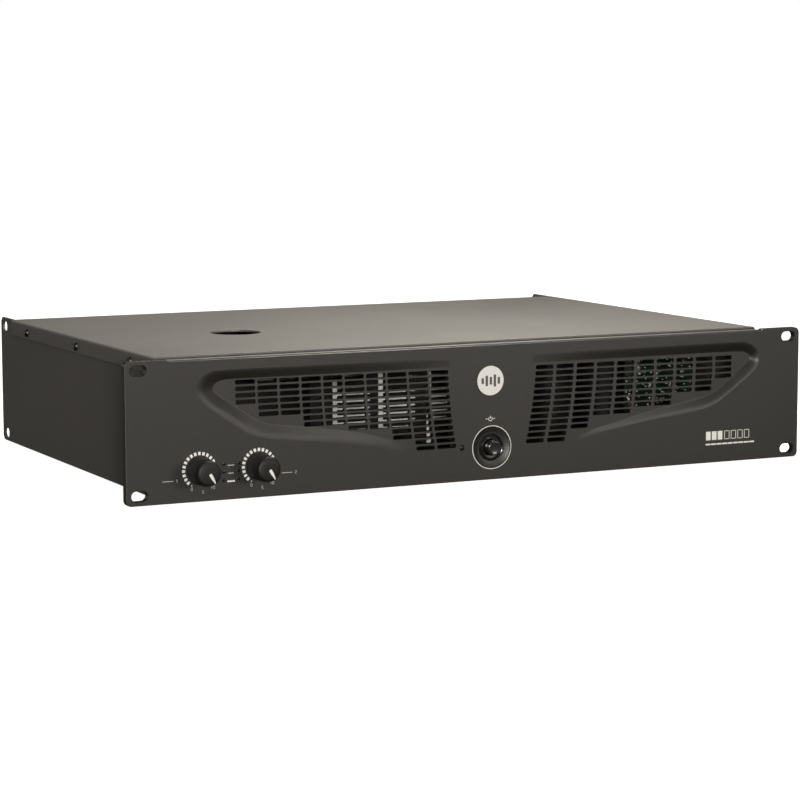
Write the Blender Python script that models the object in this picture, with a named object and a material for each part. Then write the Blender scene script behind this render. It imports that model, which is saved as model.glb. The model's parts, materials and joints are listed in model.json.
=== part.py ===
"""Two-unit stereo power amplifier, built as separate pieces.

Metres, +Z up, front face towards -Y. Inside the frame empty, X is measured from the panel's middle,
Y back from the front panel's face and Z up from the panel's lower edge.
"""

import math

import bmesh
import bpy
from mathutils import Vector

# Overall casework
PANEL_WIDTH = 0.4826
PANEL_HEIGHT = 0.0880
PANEL_THICKNESS = 0.0050
PANEL_CORNER = 0.0035
PANEL_TOP_STEP = 0.0012
PANEL_STEP_ENDS = (-0.2133, 0.2113)
EAR_INNER_X = 0.2175
EAR_PAD_STEP = 0.0004
TOTAL_DEPTH = 0.3260
KNOB_REACH = 0.0175
FRAME_SHIFT_Y = -(TOTAL_DEPTH - KNOB_REACH) / 2
GAP = 0.0003
SHEET = 0.0015
CHASSIS_BOTTOM = 0.0005
SIDE_OUTER_X = 0.2152
SIDE_TOP_Z = 0.0865
REAR_FACE_Y = 0.2985
COVER_FRONT_Y = 0.0166
COVER_SHEET = 0.0012
COVER_OUTER_X = 0.2167
COVER_FLANGE_Z = 0.0775
COVER_HOLE_CENTRE = (-0.1115, 0.1410)
COVER_HOLE_RADIUS = 0.0170

# Rack slots and rear support ears
RACK_SLOT_X = 0.23255
RACK_SLOT_Z = (0.00595, 0.08215)
RACK_SLOT_LENGTH = 0.0105
RACK_SLOT_HEIGHT = 0.0065
EAR_SLOT_Y = 0.3170
EAR_SLOT_Z = (0.0060, 0.0820)
EAR_SLOT_LENGTH = 0.0100
EAR_SLOT_HEIGHT = 0.0070
SIDE_SCREW_Y = (0.0576, 0.1593, 0.2627)
SIDE_SCREW_Z = 0.0820
SCREW_HEAD_RADIUS = 0.0031
SCREW_HEAD_HEIGHT = 0.0018
SCREW_SHANK_RADIUS = 0.0015
SCREW_HOLE_RADIUS = 0.0018

# Front pattern, centred a little to the right of the panel's middle
PATTERN_X = 0.0070
SLOTS_PER_COLUMN = (4, 6, 6, 8, 8, 9, 9, 11, 13, 13)
SLOT_WIDTH = 0.0131
SLOT_HEIGHT = 0.0026
# For each side: X of the outer column and step to the next, top row's Z, row pitch, sideways drift of the
# outer and inner columns a row, and the growth of that drift
SLOT_GRID = {
    -1: (-0.1621, 0.01459, 0.0714, 0.00400, 0.0, 0.00013, 0.0000265),
    1: (0.1834, -0.01532, 0.0702, 0.00398, -0.00004, -0.00026, -0.0000280),
}
# The hollow's floor is a plane: depth = first * reach + second * height - third
WING_PLANE = (0.02198, 0.0158, 0.00110)
WING_WALL = 0.0024
WING_LIP = (
    (0.0140, 0.0796),
    (0.1900, 0.0804),
    (0.1985, 0.0768),
    (0.2028, 0.0705),
    (0.1972, 0.0586),
    (0.1863, 0.0508),
    (0.1729, 0.0416),
    (0.1646, 0.0372),
    (0.1532, 0.0347),
    (0.1140, 0.0302),
    (0.0838, 0.0255),
    (0.0706, 0.0219),
    (0.0440, 0.0140),
)
WING_FLOOR = {
    -1: (
        (0.0167, 0.0737),
        (0.1780, 0.0737),
        (0.1865, 0.0720),
        (0.1896, 0.0695),
        (0.1840, 0.0628),
        (0.1745, 0.0564),
        (0.1650, 0.0502),
        (0.1580, 0.0465),
        (0.1490, 0.0443),
        (0.1130, 0.0397),
        (0.0840, 0.0340),
        (0.0700, 0.0290),
        (0.0417, 0.0190),
    ),
    1: (
        (0.0167, 0.0737),
        (0.1890, 0.0732),
        (0.1950, 0.0715),
        (0.1974, 0.0690),
        (0.1895, 0.0618),
        (0.1805, 0.0548),
        (0.1690, 0.0475),
        (0.1610, 0.0446),
        (0.1525, 0.0431),
        (0.1138, 0.0366),
        (0.0840, 0.0302),
        (0.0700, 0.0265),
        (0.0422, 0.0180),
    ),
}

# Front controls
GAIN_X = (-0.1938, -0.1546)
GAIN_Z = 0.0194
KNOB_RADIUS = 0.0085
KNOB_TOP_RADIUS = 0.0080
SHAFT_RADIUS = 0.0030
POWER_X = 0.0069
POWER_Z = 0.0209
POWER_CAP_RADIUS = 0.0049
POWER_CAP_REACH = 0.0048
BEZEL_RADIUS = 0.0086
BEZEL_HOLE_RADIUS = 0.0072
BADGE_X = 0.0054
BADGE_Z = 0.0640
BADGE_RADIUS = 0.0095
FRONT_SCREW_X = -0.0146
FRONT_SCREW_Z = 0.0218
LIGHT_X = (-0.1781, -0.1683)
LIGHT_Z = (0.0126, 0.0178, 0.0226)
LIGHT_RADIUS = 0.0011
COMB_HALF = 0.0014
COMB_LOW = LIGHT_Z[0] - 0.0024
COMB_HIGH = LIGHT_Z[2] + 0.0024

# Subpanel behind the front panel
SUBPANEL_Y = 0.0096
SUBPANEL_FLANGE = 0.0200

# Transformer
TRANSFORMER_X, TRANSFORMER_Y = COVER_HOLE_CENTRE
TRANSFORMER_RADIUS = 0.0500
TRANSFORMER_BORE = 0.0140
TRANSFORMER_LOW_Z = 0.0050
TRANSFORMER_HIGH_Z = 0.0680

# Heat sinks, output boards and fan
FAN_X = -0.0100
SINK_X = (-0.0595, -0.0260, 0.0100)
SINK_FRONT_Y = 0.1000
SINK_REAR_Y = 0.2600
SINK_WEB = 0.0034
SINK_FIRST_FIN_Z = 0.0180
FIN_PITCH = 0.0048
FIN_COUNT = 14
FIN_THICKNESS = 0.0012
FIN_LENGTH = 0.0240
OUTPUT_BOARDS = (((-0.0720, 0.1980), (-0.0335, 0.2640)), ((-0.0325, 0.0960), (0.0400, 0.2640)))
TRANSISTOR_Y = (0.2000, 0.2210, 0.2420)
FAN_SIZE = 0.0800
FAN_DEPTH = 0.0250
FAN_Z = 0.0445
FAN_BORE_RADIUS = 0.0382
FAN_HUB_RADIUS = 0.0165
FAN_BLADES = 7

# Circuit boards
BOARD_Z = 0.0090
BOARD_THICKNESS = 0.0016
SUPPLY_BOARD = ((0.0560, 0.0700), (0.2080, 0.1700))
CONTROL_BOARD_Y = 0.0150

# Rear connectors
INPUT_X = 0.1880
CONNECTOR_Z = (0.0240, 0.0640)
INPUT_FLANGE = (0.0260, 0.0310)
CONNECTOR_BARREL_RADIUS = 0.0118
LATCH_WIDTH = 0.0068
LATCH_LOW = 0.0108
LATCH_HIGH = 0.0142
LATCH_REACH = 0.0042
SPEAKER_X = 0.1150
POST_X = 0.0735
POST_PITCH = 0.0190
POST_CAP_RADIUS = 0.0068
SWITCH_X = 0.1515
SWITCH_Z = 0.0440
INLET_X = -0.1780
INLET_Z = 0.0280
BREAKER_X = -0.1780
BREAKER_Z = 0.0640


def remove_everything():
    for obj in list(bpy.data.objects):
        bpy.data.objects.remove(obj, do_unlink=True)


def make_material(name, colour, roughness, metallic=0.0):
    material = bpy.data.materials.new(name)
    material.use_nodes = True
    shader = material.node_tree.nodes["Principled BSDF"]
    shader.inputs["Base Color"].default_value = (*colour, 1.0)
    shader.inputs["Roughness"].default_value = roughness
    shader.inputs["Metallic"].default_value = metallic
    return material


LOOKS = {
    "powder_coat": ((0.045, 0.043, 0.040), 0.55, 0.0),
    "cover_paint": ((0.060, 0.058, 0.054), 0.50, 0.0),
    "zinc_sheet": ((0.55, 0.56, 0.57), 0.38, 1.0),
    "black_plastic": ((0.018, 0.018, 0.018), 0.45, 0.0),
    "gloss_black": ((0.012, 0.012, 0.012), 0.20, 0.0),
    "white_print": ((0.85, 0.85, 0.84), 0.35, 0.0),
    "raw_aluminium": ((0.72, 0.73, 0.74), 0.32, 1.0),
    "steel": ((0.62, 0.62, 0.61), 0.28, 1.0),
    "black_screw": ((0.03, 0.03, 0.03), 0.35, 1.0),
    "winding_tape": ((0.35, 0.22, 0.05), 0.35, 0.0),
    "board_green": ((0.03, 0.16, 0.07), 0.40, 0.0),
    "capacitor_sleeve": ((0.02, 0.03, 0.06), 0.30, 0.0),
    "light_lens": ((0.75, 0.80, 0.78), 0.15, 0.0),
    "red_plastic": ((0.60, 0.02, 0.02), 0.35, 0.0),
    "clear_red": ((0.55, 0.03, 0.02), 0.25, 0.0),
}


def give_material(obj, look):
    colour, roughness, metallic = LOOKS[look]
    obj.data.materials.append(make_material(obj.name, colour, roughness, metallic))


def place_mesh(name, body, origin, look=None):
    """Turns a bmesh in frame coordinates into an object whose origin is at the given point."""
    bmesh.ops.recalc_face_normals(body, faces=body.faces)
    bmesh.ops.translate(body, verts=body.verts, vec=-Vector(origin))
    mesh = bpy.data.meshes.new(name)
    body.to_mesh(mesh)
    body.free()
    obj = bpy.data.objects.new(name, mesh)
    obj.location = origin
    obj.parent = bpy.data.objects["amplifier_frame"]
    bpy.context.scene.collection.objects.link(obj)
    if look:
        give_material(obj, look)
    return obj


def add_box(body, low, high):
    corners = [(x, y, z) for x in (low[0], high[0]) for y in (low[1], high[1]) for z in (low[2], high[2])]
    verts = [body.verts.new(corner) for corner in corners]
    for face in ((0, 1, 3, 2), (4, 6, 7, 5), (0, 4, 5, 1), (2, 3, 7, 6), (0, 2, 6, 4), (1, 5, 7, 3)):
        body.faces.new([verts[i] for i in face])


def point_on(axis, along, across, up):
    """Places an outline's point in space: the outline lies in the plane across the axis."""
    if axis == "X":
        return (along, across, up)
    if axis == "Y":
        return (across, along, up)
    return (across, up, along)


def add_prism(body, outline, axis, start, end):
    near = [body.verts.new(point_on(axis, start, a, b)) for a, b in outline]
    far = [body.verts.new(point_on(axis, end, a, b)) for a, b in outline]
    count = len(outline)
    body.faces.new(near[::-1])
    body.faces.new(far)
    for i in range(count):
        j = (i + 1) % count
        body.faces.new((near[i], near[j], far[j], far[i]))


def add_turned(body, profile, axis, centre, segments):
    """Turns a closed (radius, along) profile about an axis through the centre. A radius of 0 makes a pole."""
    rings = []
    for radius, along in profile:
        if radius < 1e-7:
            rings.append([body.verts.new(point_on(axis, along, centre[0], centre[1]))])
            continue
        ring = []
        for i in range(segments):
            angle = 2 * math.pi * i / segments
            across = centre[0] + radius * math.cos(angle)
            up = centre[1] + radius * math.sin(angle)
            ring.append(body.verts.new(point_on(axis, along, across, up)))
        rings.append(ring)
    closed = profile[0][0] > 1e-7
    pairs = list(zip(rings, rings[1:])) + ([(rings[-1], rings[0])] if closed else [])
    for first, second in pairs:
        for i in range(segments):
            j = (i + 1) % segments
            if len(first) == 1 and len(second) == 1:
                continue
            if len(first) == 1:
                body.faces.new((first[0], second[j], second[i]))
            elif len(second) == 1:
                body.faces.new((first[i], first[j], second[0]))
            else:
                body.faces.new((first[i], first[j], second[j], second[i]))


def add_rod(body, axis, centre, radius, start, end, segments=24):
    add_turned(body, [(0.0, start), (radius, start), (radius, end), (0.0, end)], axis, centre, segments)


def rounded_slot(across, up, length, height, steps=5):
    """Outline of a slot with round ends, its length along the first direction."""
    radius = height / 2
    reach = length / 2 - radius
    points = []
    for side in (1, -1):
        for i in range(steps + 1):
            angle = side * (-math.pi / 2) + side * math.pi * i / steps
            if side > 0:
                points.append((across + reach + radius * math.cos(angle), up + radius * math.sin(angle)))
            else:
                points.append((across - reach - radius * math.cos(angle), up + radius * math.sin(angle)))
    return points


def rounded_box_outline(low, high, radius, steps=4):
    centres = (
        (high[0] - radius, high[1] - radius, 0.0),
        (low[0] + radius, high[1] - radius, 90.0),
        (low[0] + radius, low[1] + radius, 180.0),
        (high[0] - radius, low[1] + radius, 270.0),
    )
    points = []
    for across, up, first in centres:
        for i in range(steps + 1):
            angle = math.radians(first + 90.0 * i / steps)
            points.append((across + radius * math.cos(angle), up + radius * math.sin(angle)))
    return points


def tool_object(name, body):
    obj = place_mesh(name, body, (0.0, 0.0, 0.0))
    obj.hide_render = True
    obj.display_type = "WIRE"
    return obj


def combine(obj, body, operation, label="tool"):
    """Adds a Boolean step that cuts the given mesh from the object or joins it on."""
    tool = tool_object(f"{obj.name}_{operation.lower()}_{label}", body)
    step = obj.modifiers.new(f"{operation.lower()}_{label}", "BOOLEAN")
    step.operation = operation
    step.solver = "EXACT"
    step.object = tool
    return obj


def grown(outline, amount):
    """Moves each corner of an anticlockwise or clockwise outline outwards by about the given amount."""
    count = len(outline)
    ahead = outline[1:] + outline[:1]
    area = sum(here[0] * there[1] - there[0] * here[1] for here, there in zip(outline, ahead))
    turn = 1.0 if area > 0 else -1.0
    moved = []
    for i in range(count):
        before = Vector(outline[i]) - Vector(outline[i - 1])
        after = Vector(outline[(i + 1) % count]) - Vector(outline[i])
        first = Vector((before.y, -before.x)).normalized() * turn
        second = Vector((after.y, -after.x)).normalized() * turn
        mitre = (first + second) / max(0.35, 1.0 + first.dot(second))
        moved.append((outline[i][0] + mitre.x * amount, outline[i][1] + mitre.y * amount))
    return moved


def wing_points(outline, side):
    return [(PATTERN_X + side * across, up) for across, up in outline]


def floor_depth(across, up):
    """Depth of the hollow's tilted floor behind the panel face."""
    return WING_PLANE[0] * abs(across - PATTERN_X) + WING_PLANE[1] * up - WING_PLANE[2]


def add_wing_recess(body, side):
    """The hollow pressed into the face: sloping sides from the lip down to a slatted floor."""
    front = -0.0040
    lip = [(x, 0.0, z) for x, z in wing_points(WING_LIP, side)]
    floor = [(x, floor_depth(x, z), z) for x, z in wing_points(WING_FLOOR[side], side)]
    above = [(x, front, z) for x, _, z in lip]
    rings = [[body.verts.new(point) for point in ring] for ring in (above, lip, floor)]
    count = len(lip)
    body.faces.new(rings[0][::-1])
    for first, second in zip(rings, rings[1:]):
        for i in range(count):
            j = (i + 1) % count
            body.faces.new((first[i], first[j], second[j], second[i]))
    body.faces.new(rings[2])
    bmesh.ops.triangulate(body, faces=body.faces)


def add_wing_backing(body, side):
    """The casting's thickness behind the hollow."""
    lip = grown(wing_points(WING_LIP, side), 0.0015)
    near = [body.verts.new((x, PANEL_THICKNESS - 0.0032, z)) for x, z in lip]
    far = [body.verts.new((x, floor_depth(x, z) + WING_WALL, z)) for x, z in lip]
    count = len(lip)
    body.faces.new(near[::-1])
    body.faces.new(far)
    for i in range(count):
        j = (i + 1) % count
        body.faces.new((near[i], near[j], far[j], far[i]))


def slot_centres(side):
    """Centre of every ventilation slot of one wing, outer column first."""
    first, step, top, pitch, drift_outer, drift_inner, bend = SLOT_GRID[side]
    centres = []
    for column, rows in enumerate(SLOTS_PER_COLUMN):
        drift = drift_outer + (drift_inner - drift_outer) * column / (len(SLOTS_PER_COLUMN) - 1)
        for row in range(rows):
            centres.append((first + step * column + drift * row + bend * row * row, top - pitch * row))
    return centres


def add_vent_slots(body, side):
    half_width, half_height = SLOT_WIDTH / 2, SLOT_HEIGHT / 2
    for across, up in slot_centres(side):
        outline = [
            (across - half_width, up - half_height),
            (across + half_width, up - half_height),
            (across + half_width, up + half_height),
            (across - half_width, up + half_height),
        ]
        add_prism(body, outline, "Y", -0.002, 0.014)


def panel_outline():
    half = PANEL_WIDTH / 2
    low = rounded_box_outline((-half, 0.0), (half, PANEL_HEIGHT), PANEL_CORNER)
    step_z = PANEL_HEIGHT - PANEL_TOP_STEP
    right, left = PANEL_STEP_ENDS[1], PANEL_STEP_ENDS[0]
    top = [(right, PANEL_HEIGHT), (right - 0.0008, step_z), (left + 0.0008, step_z), (left, PANEL_HEIGHT)]
    corner = len(low) // 4
    return low[:corner] + top + low[corner:]


def front_panel():
    body = bmesh.new()
    add_prism(body, panel_outline(), "Y", 0.0, PANEL_THICKNESS)
    panel = place_mesh("front_panel", body, (0.0, 0.0, 0.0), "powder_coat")
    relief = bmesh.new()
    middle_back = PANEL_THICKNESS - EAR_PAD_STEP
    add_box(relief, (-EAR_INNER_X, middle_back, -0.002), (EAR_INNER_X, 0.010, PANEL_HEIGHT + 0.002))
    combine(panel, relief, "DIFFERENCE", "relief")

    backing = bmesh.new()
    for side in (-1, 1):
        add_wing_backing(backing, side)
    boss_rows = ((-0.2080, 0.0100), (-0.0560, 0.0080), (0.0800, 0.0080), (0.2060, 0.0100),
            (-0.0560, 0.0838), (0.0800, 0.0838))
    for across, up in boss_rows:
        add_rod(backing, "Y", (across, up), 0.0025, PANEL_THICKNESS - 0.0010, SUBPANEL_Y - GAP, 12)
    combine(panel, backing, "UNION")

    hollow = bmesh.new()
    for side in (-1, 1):
        add_wing_recess(hollow, side)
    combine(panel, hollow, "DIFFERENCE")

    openings = bmesh.new()
    for side in (-1, 1):
        add_vent_slots(openings, side)
        for up in RACK_SLOT_Z:
            slot = rounded_slot(side * RACK_SLOT_X, up, RACK_SLOT_LENGTH, RACK_SLOT_HEIGHT)
            add_prism(openings, slot, "Y", -0.002, 0.014)
    for across in GAIN_X:
        add_rod(openings, "Y", (across, GAIN_Z), SHAFT_RADIUS + 0.0007, -0.002, 0.014, 20)
    add_rod(openings, "Y", (POWER_X, POWER_Z), BEZEL_RADIUS + GAP, -0.002, 0.014, 32)
    add_rod(openings, "Y", (FRONT_SCREW_X, FRONT_SCREW_Z), SCREW_HOLE_RADIUS, -0.002, 0.014, 16)
    for across in LIGHT_X:
        for up in LIGHT_Z:
            add_rod(openings, "Y", (across, up), LIGHT_RADIUS + GAP, -0.002, 0.014, 12)
    combine(panel, openings, "DIFFERENCE", "openings")


def channel_outline(web_y, rearward):
    """Side view of a folded plate: an upright web with a flange along its top and bottom."""
    turn = 1.0 if rearward else -1.0
    low, high = CHASSIS_BOTTOM + SHEET + GAP, SIDE_TOP_Z - 0.0001
    back = web_y + turn * SHEET
    tip = web_y + turn * SUBPANEL_FLANGE
    points = [
        (web_y, low), (tip, low), (tip, low + SHEET), (back, low + SHEET),
        (back, high - SHEET), (tip, high - SHEET), (tip, high), (web_y, high),
    ]
    return points if rearward else points[::-1]


def subpanel():
    half = SIDE_OUTER_X - SHEET - GAP
    body = bmesh.new()
    add_prism(body, channel_outline(SUBPANEL_Y, True), "X", -half, half)
    plate = place_mesh("subpanel", body, (0.0, SUBPANEL_Y, 0.0), "zinc_sheet")
    cutter = bmesh.new()
    near, far = SUBPANEL_Y - 0.002, SUBPANEL_Y + SHEET + 0.002
    window = (
        (0.0280, 0.0735), (0.1880, 0.0735), (0.1880, 0.0550), (0.1720, 0.0480), (0.1480, 0.0400),
        (0.0920, 0.0290), (0.0600, 0.0205), (0.0242, 0.0205),
    )
    for side in (-1, 1):
        add_prism(cutter, wing_points(window, side), "Y", near, far)
    for across in GAIN_X:
        add_rod(cutter, "Y", (across, GAIN_Z), SHAFT_RADIUS + 0.0007, near, far, 20)
    for across in LIGHT_X:
        outline = rounded_box_outline((across - COMB_HALF - 0.0004, COMB_LOW - 0.0004),
                (across + COMB_HALF + 0.0004, COMB_HIGH + 0.0004), 0.0005, 2)
        add_prism(cutter, outline, "Y", near, far)
    add_rod(cutter, "Y", (POWER_X, POWER_Z), BEZEL_RADIUS + GAP, near, far, 32)
    add_rod(cutter, "Y", (FRONT_SCREW_X, FRONT_SCREW_Z), SCREW_HOLE_RADIUS, near, far, 16)
    combine(plate, cutter, "DIFFERENCE")


def base_pan():
    outer = SIDE_OUTER_X - SHEET - GAP
    low, high, lip = CHASSIS_BOTTOM, CHASSIS_BOTTOM + SHEET, 0.0006
    body = bmesh.new()
    add_prism(body, [(-outer, low), (outer, low), (outer, high), (-outer, high)], "Y", SUBPANEL_Y,
            REAR_FACE_Y)
    pan = place_mesh("base_pan", body, (0.0, SUBPANEL_Y, low), "powder_coat")
    risers = bmesh.new()
    for side in (-1, 1):
        edges = sorted((side * outer, side * (outer - SHEET)))
        start, end = SUBPANEL_Y + SUBPANEL_FLANGE + 0.004, REAR_FACE_Y - SUBPANEL_FLANGE - 0.006
        add_box(risers, (edges[0], start, low + lip), (edges[1], end, 0.0140))
    add_rod(risers, "Z", (TRANSFORMER_X, TRANSFORMER_Y), 0.0090, low + lip, TRANSFORMER_LOW_Z - GAP, 24)
    for across, along in board_posts():
        add_rod(risers, "Z", (across, along), 0.0025, low + lip, BOARD_Z - GAP, 10)
    combine(pan, risers, "UNION")




def board_posts():
    inset = 0.0050
    posts = []
    for (left, front), (right, back) in (SUPPLY_BOARD, *OUTPUT_BOARDS):
        posts += [(x, y) for x in (left + inset, right - inset) for y in (front + inset, back - inset)]
    return posts


def side_wall(name, side):
    front = PANEL_THICKNESS + GAP
    top, ear_top = SIDE_TOP_Z, PANEL_HEIGHT
    step_y = REAR_FACE_Y + 0.0006
    outline = [
        (front, CHASSIS_BOTTOM), (TOTAL_DEPTH - 0.003, CHASSIS_BOTTOM), (TOTAL_DEPTH,
                CHASSIS_BOTTOM + 0.003),
        (TOTAL_DEPTH, ear_top - 0.003), (TOTAL_DEPTH - 0.003, ear_top), (step_y, ear_top),
        (step_y, top), (front, top),
    ]
    edges = sorted((side * SIDE_OUTER_X, side * (SIDE_OUTER_X - SHEET)))
    body = bmesh.new()
    add_prism(body, outline, "X", edges[0], edges[1])
    wall = place_mesh(name, body, (side * SIDE_OUTER_X, front, CHASSIS_BOTTOM), "powder_coat")
    cutter = bmesh.new()
    near, far = edges[0] - 0.002, edges[1] + 0.002
    for up in EAR_SLOT_Z:
        add_prism(cutter, rounded_slot(EAR_SLOT_Y, up, EAR_SLOT_LENGTH, EAR_SLOT_HEIGHT), "X", near, far)
    for along in SIDE_SCREW_Y:
        add_rod(cutter, "X", (along, SIDE_SCREW_Z), SCREW_HOLE_RADIUS, near, far, 16)
    combine(wall, cutter, "DIFFERENCE")


def top_cover():
    outer, inner = COVER_OUTER_X, COVER_OUTER_X - COVER_SHEET
    top, under = PANEL_HEIGHT, PANEL_HEIGHT - COVER_SHEET
    bend = 0.0016
    outline = [(outer, COVER_FLANGE_Z), (outer, top - bend)]
    outline += [(outer - bend + bend * math.cos(a), top - bend + bend * math.sin(a)) for a in (0.5, 1.07)]
    outline += [(outer - bend, top)]
    outline += [(-x, z) for x, z in outline[::-1]]
    outline += [(-inner, COVER_FLANGE_Z), (-inner, under), (inner, under), (inner, COVER_FLANGE_Z)]
    body = bmesh.new()
    add_prism(body, outline, "Y", COVER_FRONT_Y, REAR_FACE_Y)
    cover = place_mesh("top_cover", body, (0.0, COVER_FRONT_Y, top), "cover_paint")
    cutter = bmesh.new()
    add_rod(cutter, "Z", COVER_HOLE_CENTRE, COVER_HOLE_RADIUS, under - 0.002, top + 0.002, 32)
    for side in (-1, 1):
        edges = sorted((side * (outer + 0.002), side * (inner - 0.002)))
        for along in SIDE_SCREW_Y:
            add_rod(cutter, "X", (along, SIDE_SCREW_Z), SCREW_HOLE_RADIUS, edges[0], edges[1], 16)
    combine(cover, cutter, "DIFFERENCE")


def rear_panel():
    half = SIDE_OUTER_X - SHEET - GAP
    body = bmesh.new()
    add_prism(body, channel_outline(REAR_FACE_Y, False), "X", -half, half)
    plate = place_mesh("rear_panel", body, (0.0, REAR_FACE_Y, 0.0), "powder_coat")
    cutter = bmesh.new()
    near, far = REAR_FACE_Y - SHEET - 0.002, REAR_FACE_Y + 0.002
    add_rod(cutter, "Y", (FAN_X, FAN_Z), FAN_BORE_RADIUS - 0.0010, near, far, 32)
    for up in CONNECTOR_Z:
        for across in (INPUT_X, SPEAKER_X):
            add_rod(cutter, "Y", (across, up), CONNECTOR_BARREL_RADIUS + GAP, near, far, 20)
        for pitch in (-0.5, 0.5):
            add_rod(cutter, "Y", (POST_X + pitch * POST_PITCH, up), 0.0034, near, far, 16)
    add_prism(cutter, rounded_box_outline((SWITCH_X - 0.0068, SWITCH_Z - 0.0030),
            (SWITCH_X + 0.0068, SWITCH_Z + 0.0030),
                                          0.0006, 2), "Y", near, far)
    add_prism(cutter, rounded_box_outline((INLET_X - 0.0139, INLET_Z - 0.0102),
            (INLET_X + 0.0139, INLET_Z + 0.0102),
                                          0.0020, 3), "Y", near, far)
    add_rod(cutter, "Y", (BREAKER_X, BREAKER_Z), 0.0060 + GAP, near, far, 24)
    combine(plate, cutter, "DIFFERENCE")
    notches = bmesh.new()
    for up in CONNECTOR_Z:
        add_box(notches, (INPUT_X - LATCH_WIDTH / 2 - GAP, near, up + LATCH_LOW - GAP),
                (INPUT_X + LATCH_WIDTH / 2 + GAP, far, up + LATCH_HIGH + GAP))
    combine(plate, notches, "DIFFERENCE", "latches")


def screw(name, axis, centre, head_start, outward, length, look="black_screw"):
    """A cross-head machine screw: domed head, shank, and a cross cut into the head."""
    head_end = head_start + outward * SCREW_HEAD_HEIGHT
    tip = head_start - outward * length
    profile = [
        (0.0, head_end), (SCREW_HEAD_RADIUS * 0.55, head_end - outward * 0.0002),
        (SCREW_HEAD_RADIUS * 0.88, head_end - outward * 0.0007), (SCREW_HEAD_RADIUS, head_start),
        (SCREW_SHANK_RADIUS, head_start), (SCREW_SHANK_RADIUS, tip), (0.0, tip),
    ]
    body = bmesh.new()
    add_turned(body, profile, axis, centre, 12)
    obj = place_mesh(name, body, point_on(axis, head_start, centre[0], centre[1]), look)
    cutter = bmesh.new()
    arm, width, depth = 0.0016, 0.00035, 0.0009
    ends = sorted((head_end - outward * depth, head_end + outward * 0.001))
    quarter = [(width, width), (width, arm), (-width, arm)]
    cross = []
    for turn in range(4):
        for a, b in quarter:
            for _ in range(turn):
                a, b = -b, a
            cross.append((centre[0] + a, centre[1] + b))
    add_prism(cutter, cross, axis, ends[0], ends[1])
    combine(obj, cutter, "DIFFERENCE")
    return obj


def side_screws():
    for side, label in ((-1, "left"), (1, "right")):
        for number, along in enumerate(SIDE_SCREW_Y, 1):
            start = side * (COVER_OUTER_X + GAP / 3)
            screw(f"side_screw_{label}_{number}", "X", (along, SIDE_SCREW_Z), start, side, 0.0060)


def gain_control(number, across):
    """Knob, metal shaft and the potentiometer behind the subpanel, all on one axis."""
    body = bmesh.new()
    reach, face = -KNOB_REACH, -0.0006
    profile = [
        (0.0, reach), (KNOB_TOP_RADIUS * 0.50, reach + 0.0001), (KNOB_TOP_RADIUS * 0.80, reach + 0.0005),
        (KNOB_TOP_RADIUS * 0.95, reach + 0.0014), (KNOB_TOP_RADIUS, reach + 0.0032),
        (KNOB_RADIUS - 0.0003, face - 0.0020), (KNOB_RADIUS, face - 0.0010),
        (KNOB_RADIUS, face), (SHAFT_RADIUS + GAP / 3, face), (SHAFT_RADIUS + GAP / 3, reach + 0.0050),
        (0.0, reach + 0.0050),
    ]
    add_turned(body, profile, "Y", (across, GAIN_Z), 24)
    knob = place_mesh(f"gain_knob_{number}", body, (across, 0.0, GAIN_Z), "black_plastic")
    groove = bmesh.new()
    angle = math.radians(147.0)
    pointer = [(-0.0010, 0.0010), (0.0010, 0.0010), (0.0005, 0.0105), (-0.0005, 0.0105)]
    turned = []
    for a, b in pointer:
        turned.append((across + a * math.cos(angle) + b * math.sin(angle),
                GAIN_Z - a * math.sin(angle) + b * math.cos(angle)))
    add_prism(groove, turned, "Y", reach - 0.001, reach + 0.0005)
    combine(knob, groove, "DIFFERENCE")

    body = bmesh.new()
    add_rod(body, "Y", (across, GAIN_Z), SHAFT_RADIUS, reach + 0.0050 + GAP, CONTROL_BOARD_Y + 0.0050, 20)
    place_mesh(f"gain_shaft_{number}", body, (across, 0.0, GAIN_Z), "steel")

    body = bmesh.new()
    half = 0.0080
    low, high = CONTROL_BOARD_Y + BOARD_THICKNESS + GAP, CONTROL_BOARD_Y + 0.0120
    add_box(body, (across - half, low, GAIN_Z - half), (across + half, high, GAIN_Z + half))
    pot = place_mesh(f"gain_pot_{number}", body, (across, low, GAIN_Z), "steel")
    bore = bmesh.new()
    add_rod(bore, "Y", (across, GAIN_Z), SHAFT_RADIUS + GAP, low - 0.002, high - 0.0030, 20)
    combine(pot, bore, "DIFFERENCE")


def control_board():
    body = bmesh.new()
    low, high = CONTROL_BOARD_Y, CONTROL_BOARD_Y + BOARD_THICKNESS
    add_box(body, (-0.2080, low, 0.0060), (-0.1400, high, 0.0350))
    board = place_mesh("control_board", body, (-0.1740, low, 0.0205), "board_green")
    parts = bmesh.new()
    for offset, width, height, depth in ((-0.0300, 0.008, 0.004, 0.0020), (0.0270, 0.006, 0.008, 0.0030),
                                         (-0.0060, 0.005, 0.003, 0.0015)):
        middle = -0.1740 + offset
        add_box(parts, (middle - width / 2, high - 0.0002, 0.0290),
                (middle + width / 2, high + depth, 0.0290 + height / 2))
    combine(board, parts, "UNION")
    cutter = bmesh.new()
    for across in GAIN_X:
        add_rod(cutter, "Y", (across, GAIN_Z), SHAFT_RADIUS + GAP, low - 0.002, high + 0.002, 20)
    combine(board, cutter, "DIFFERENCE", "holes")


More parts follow.
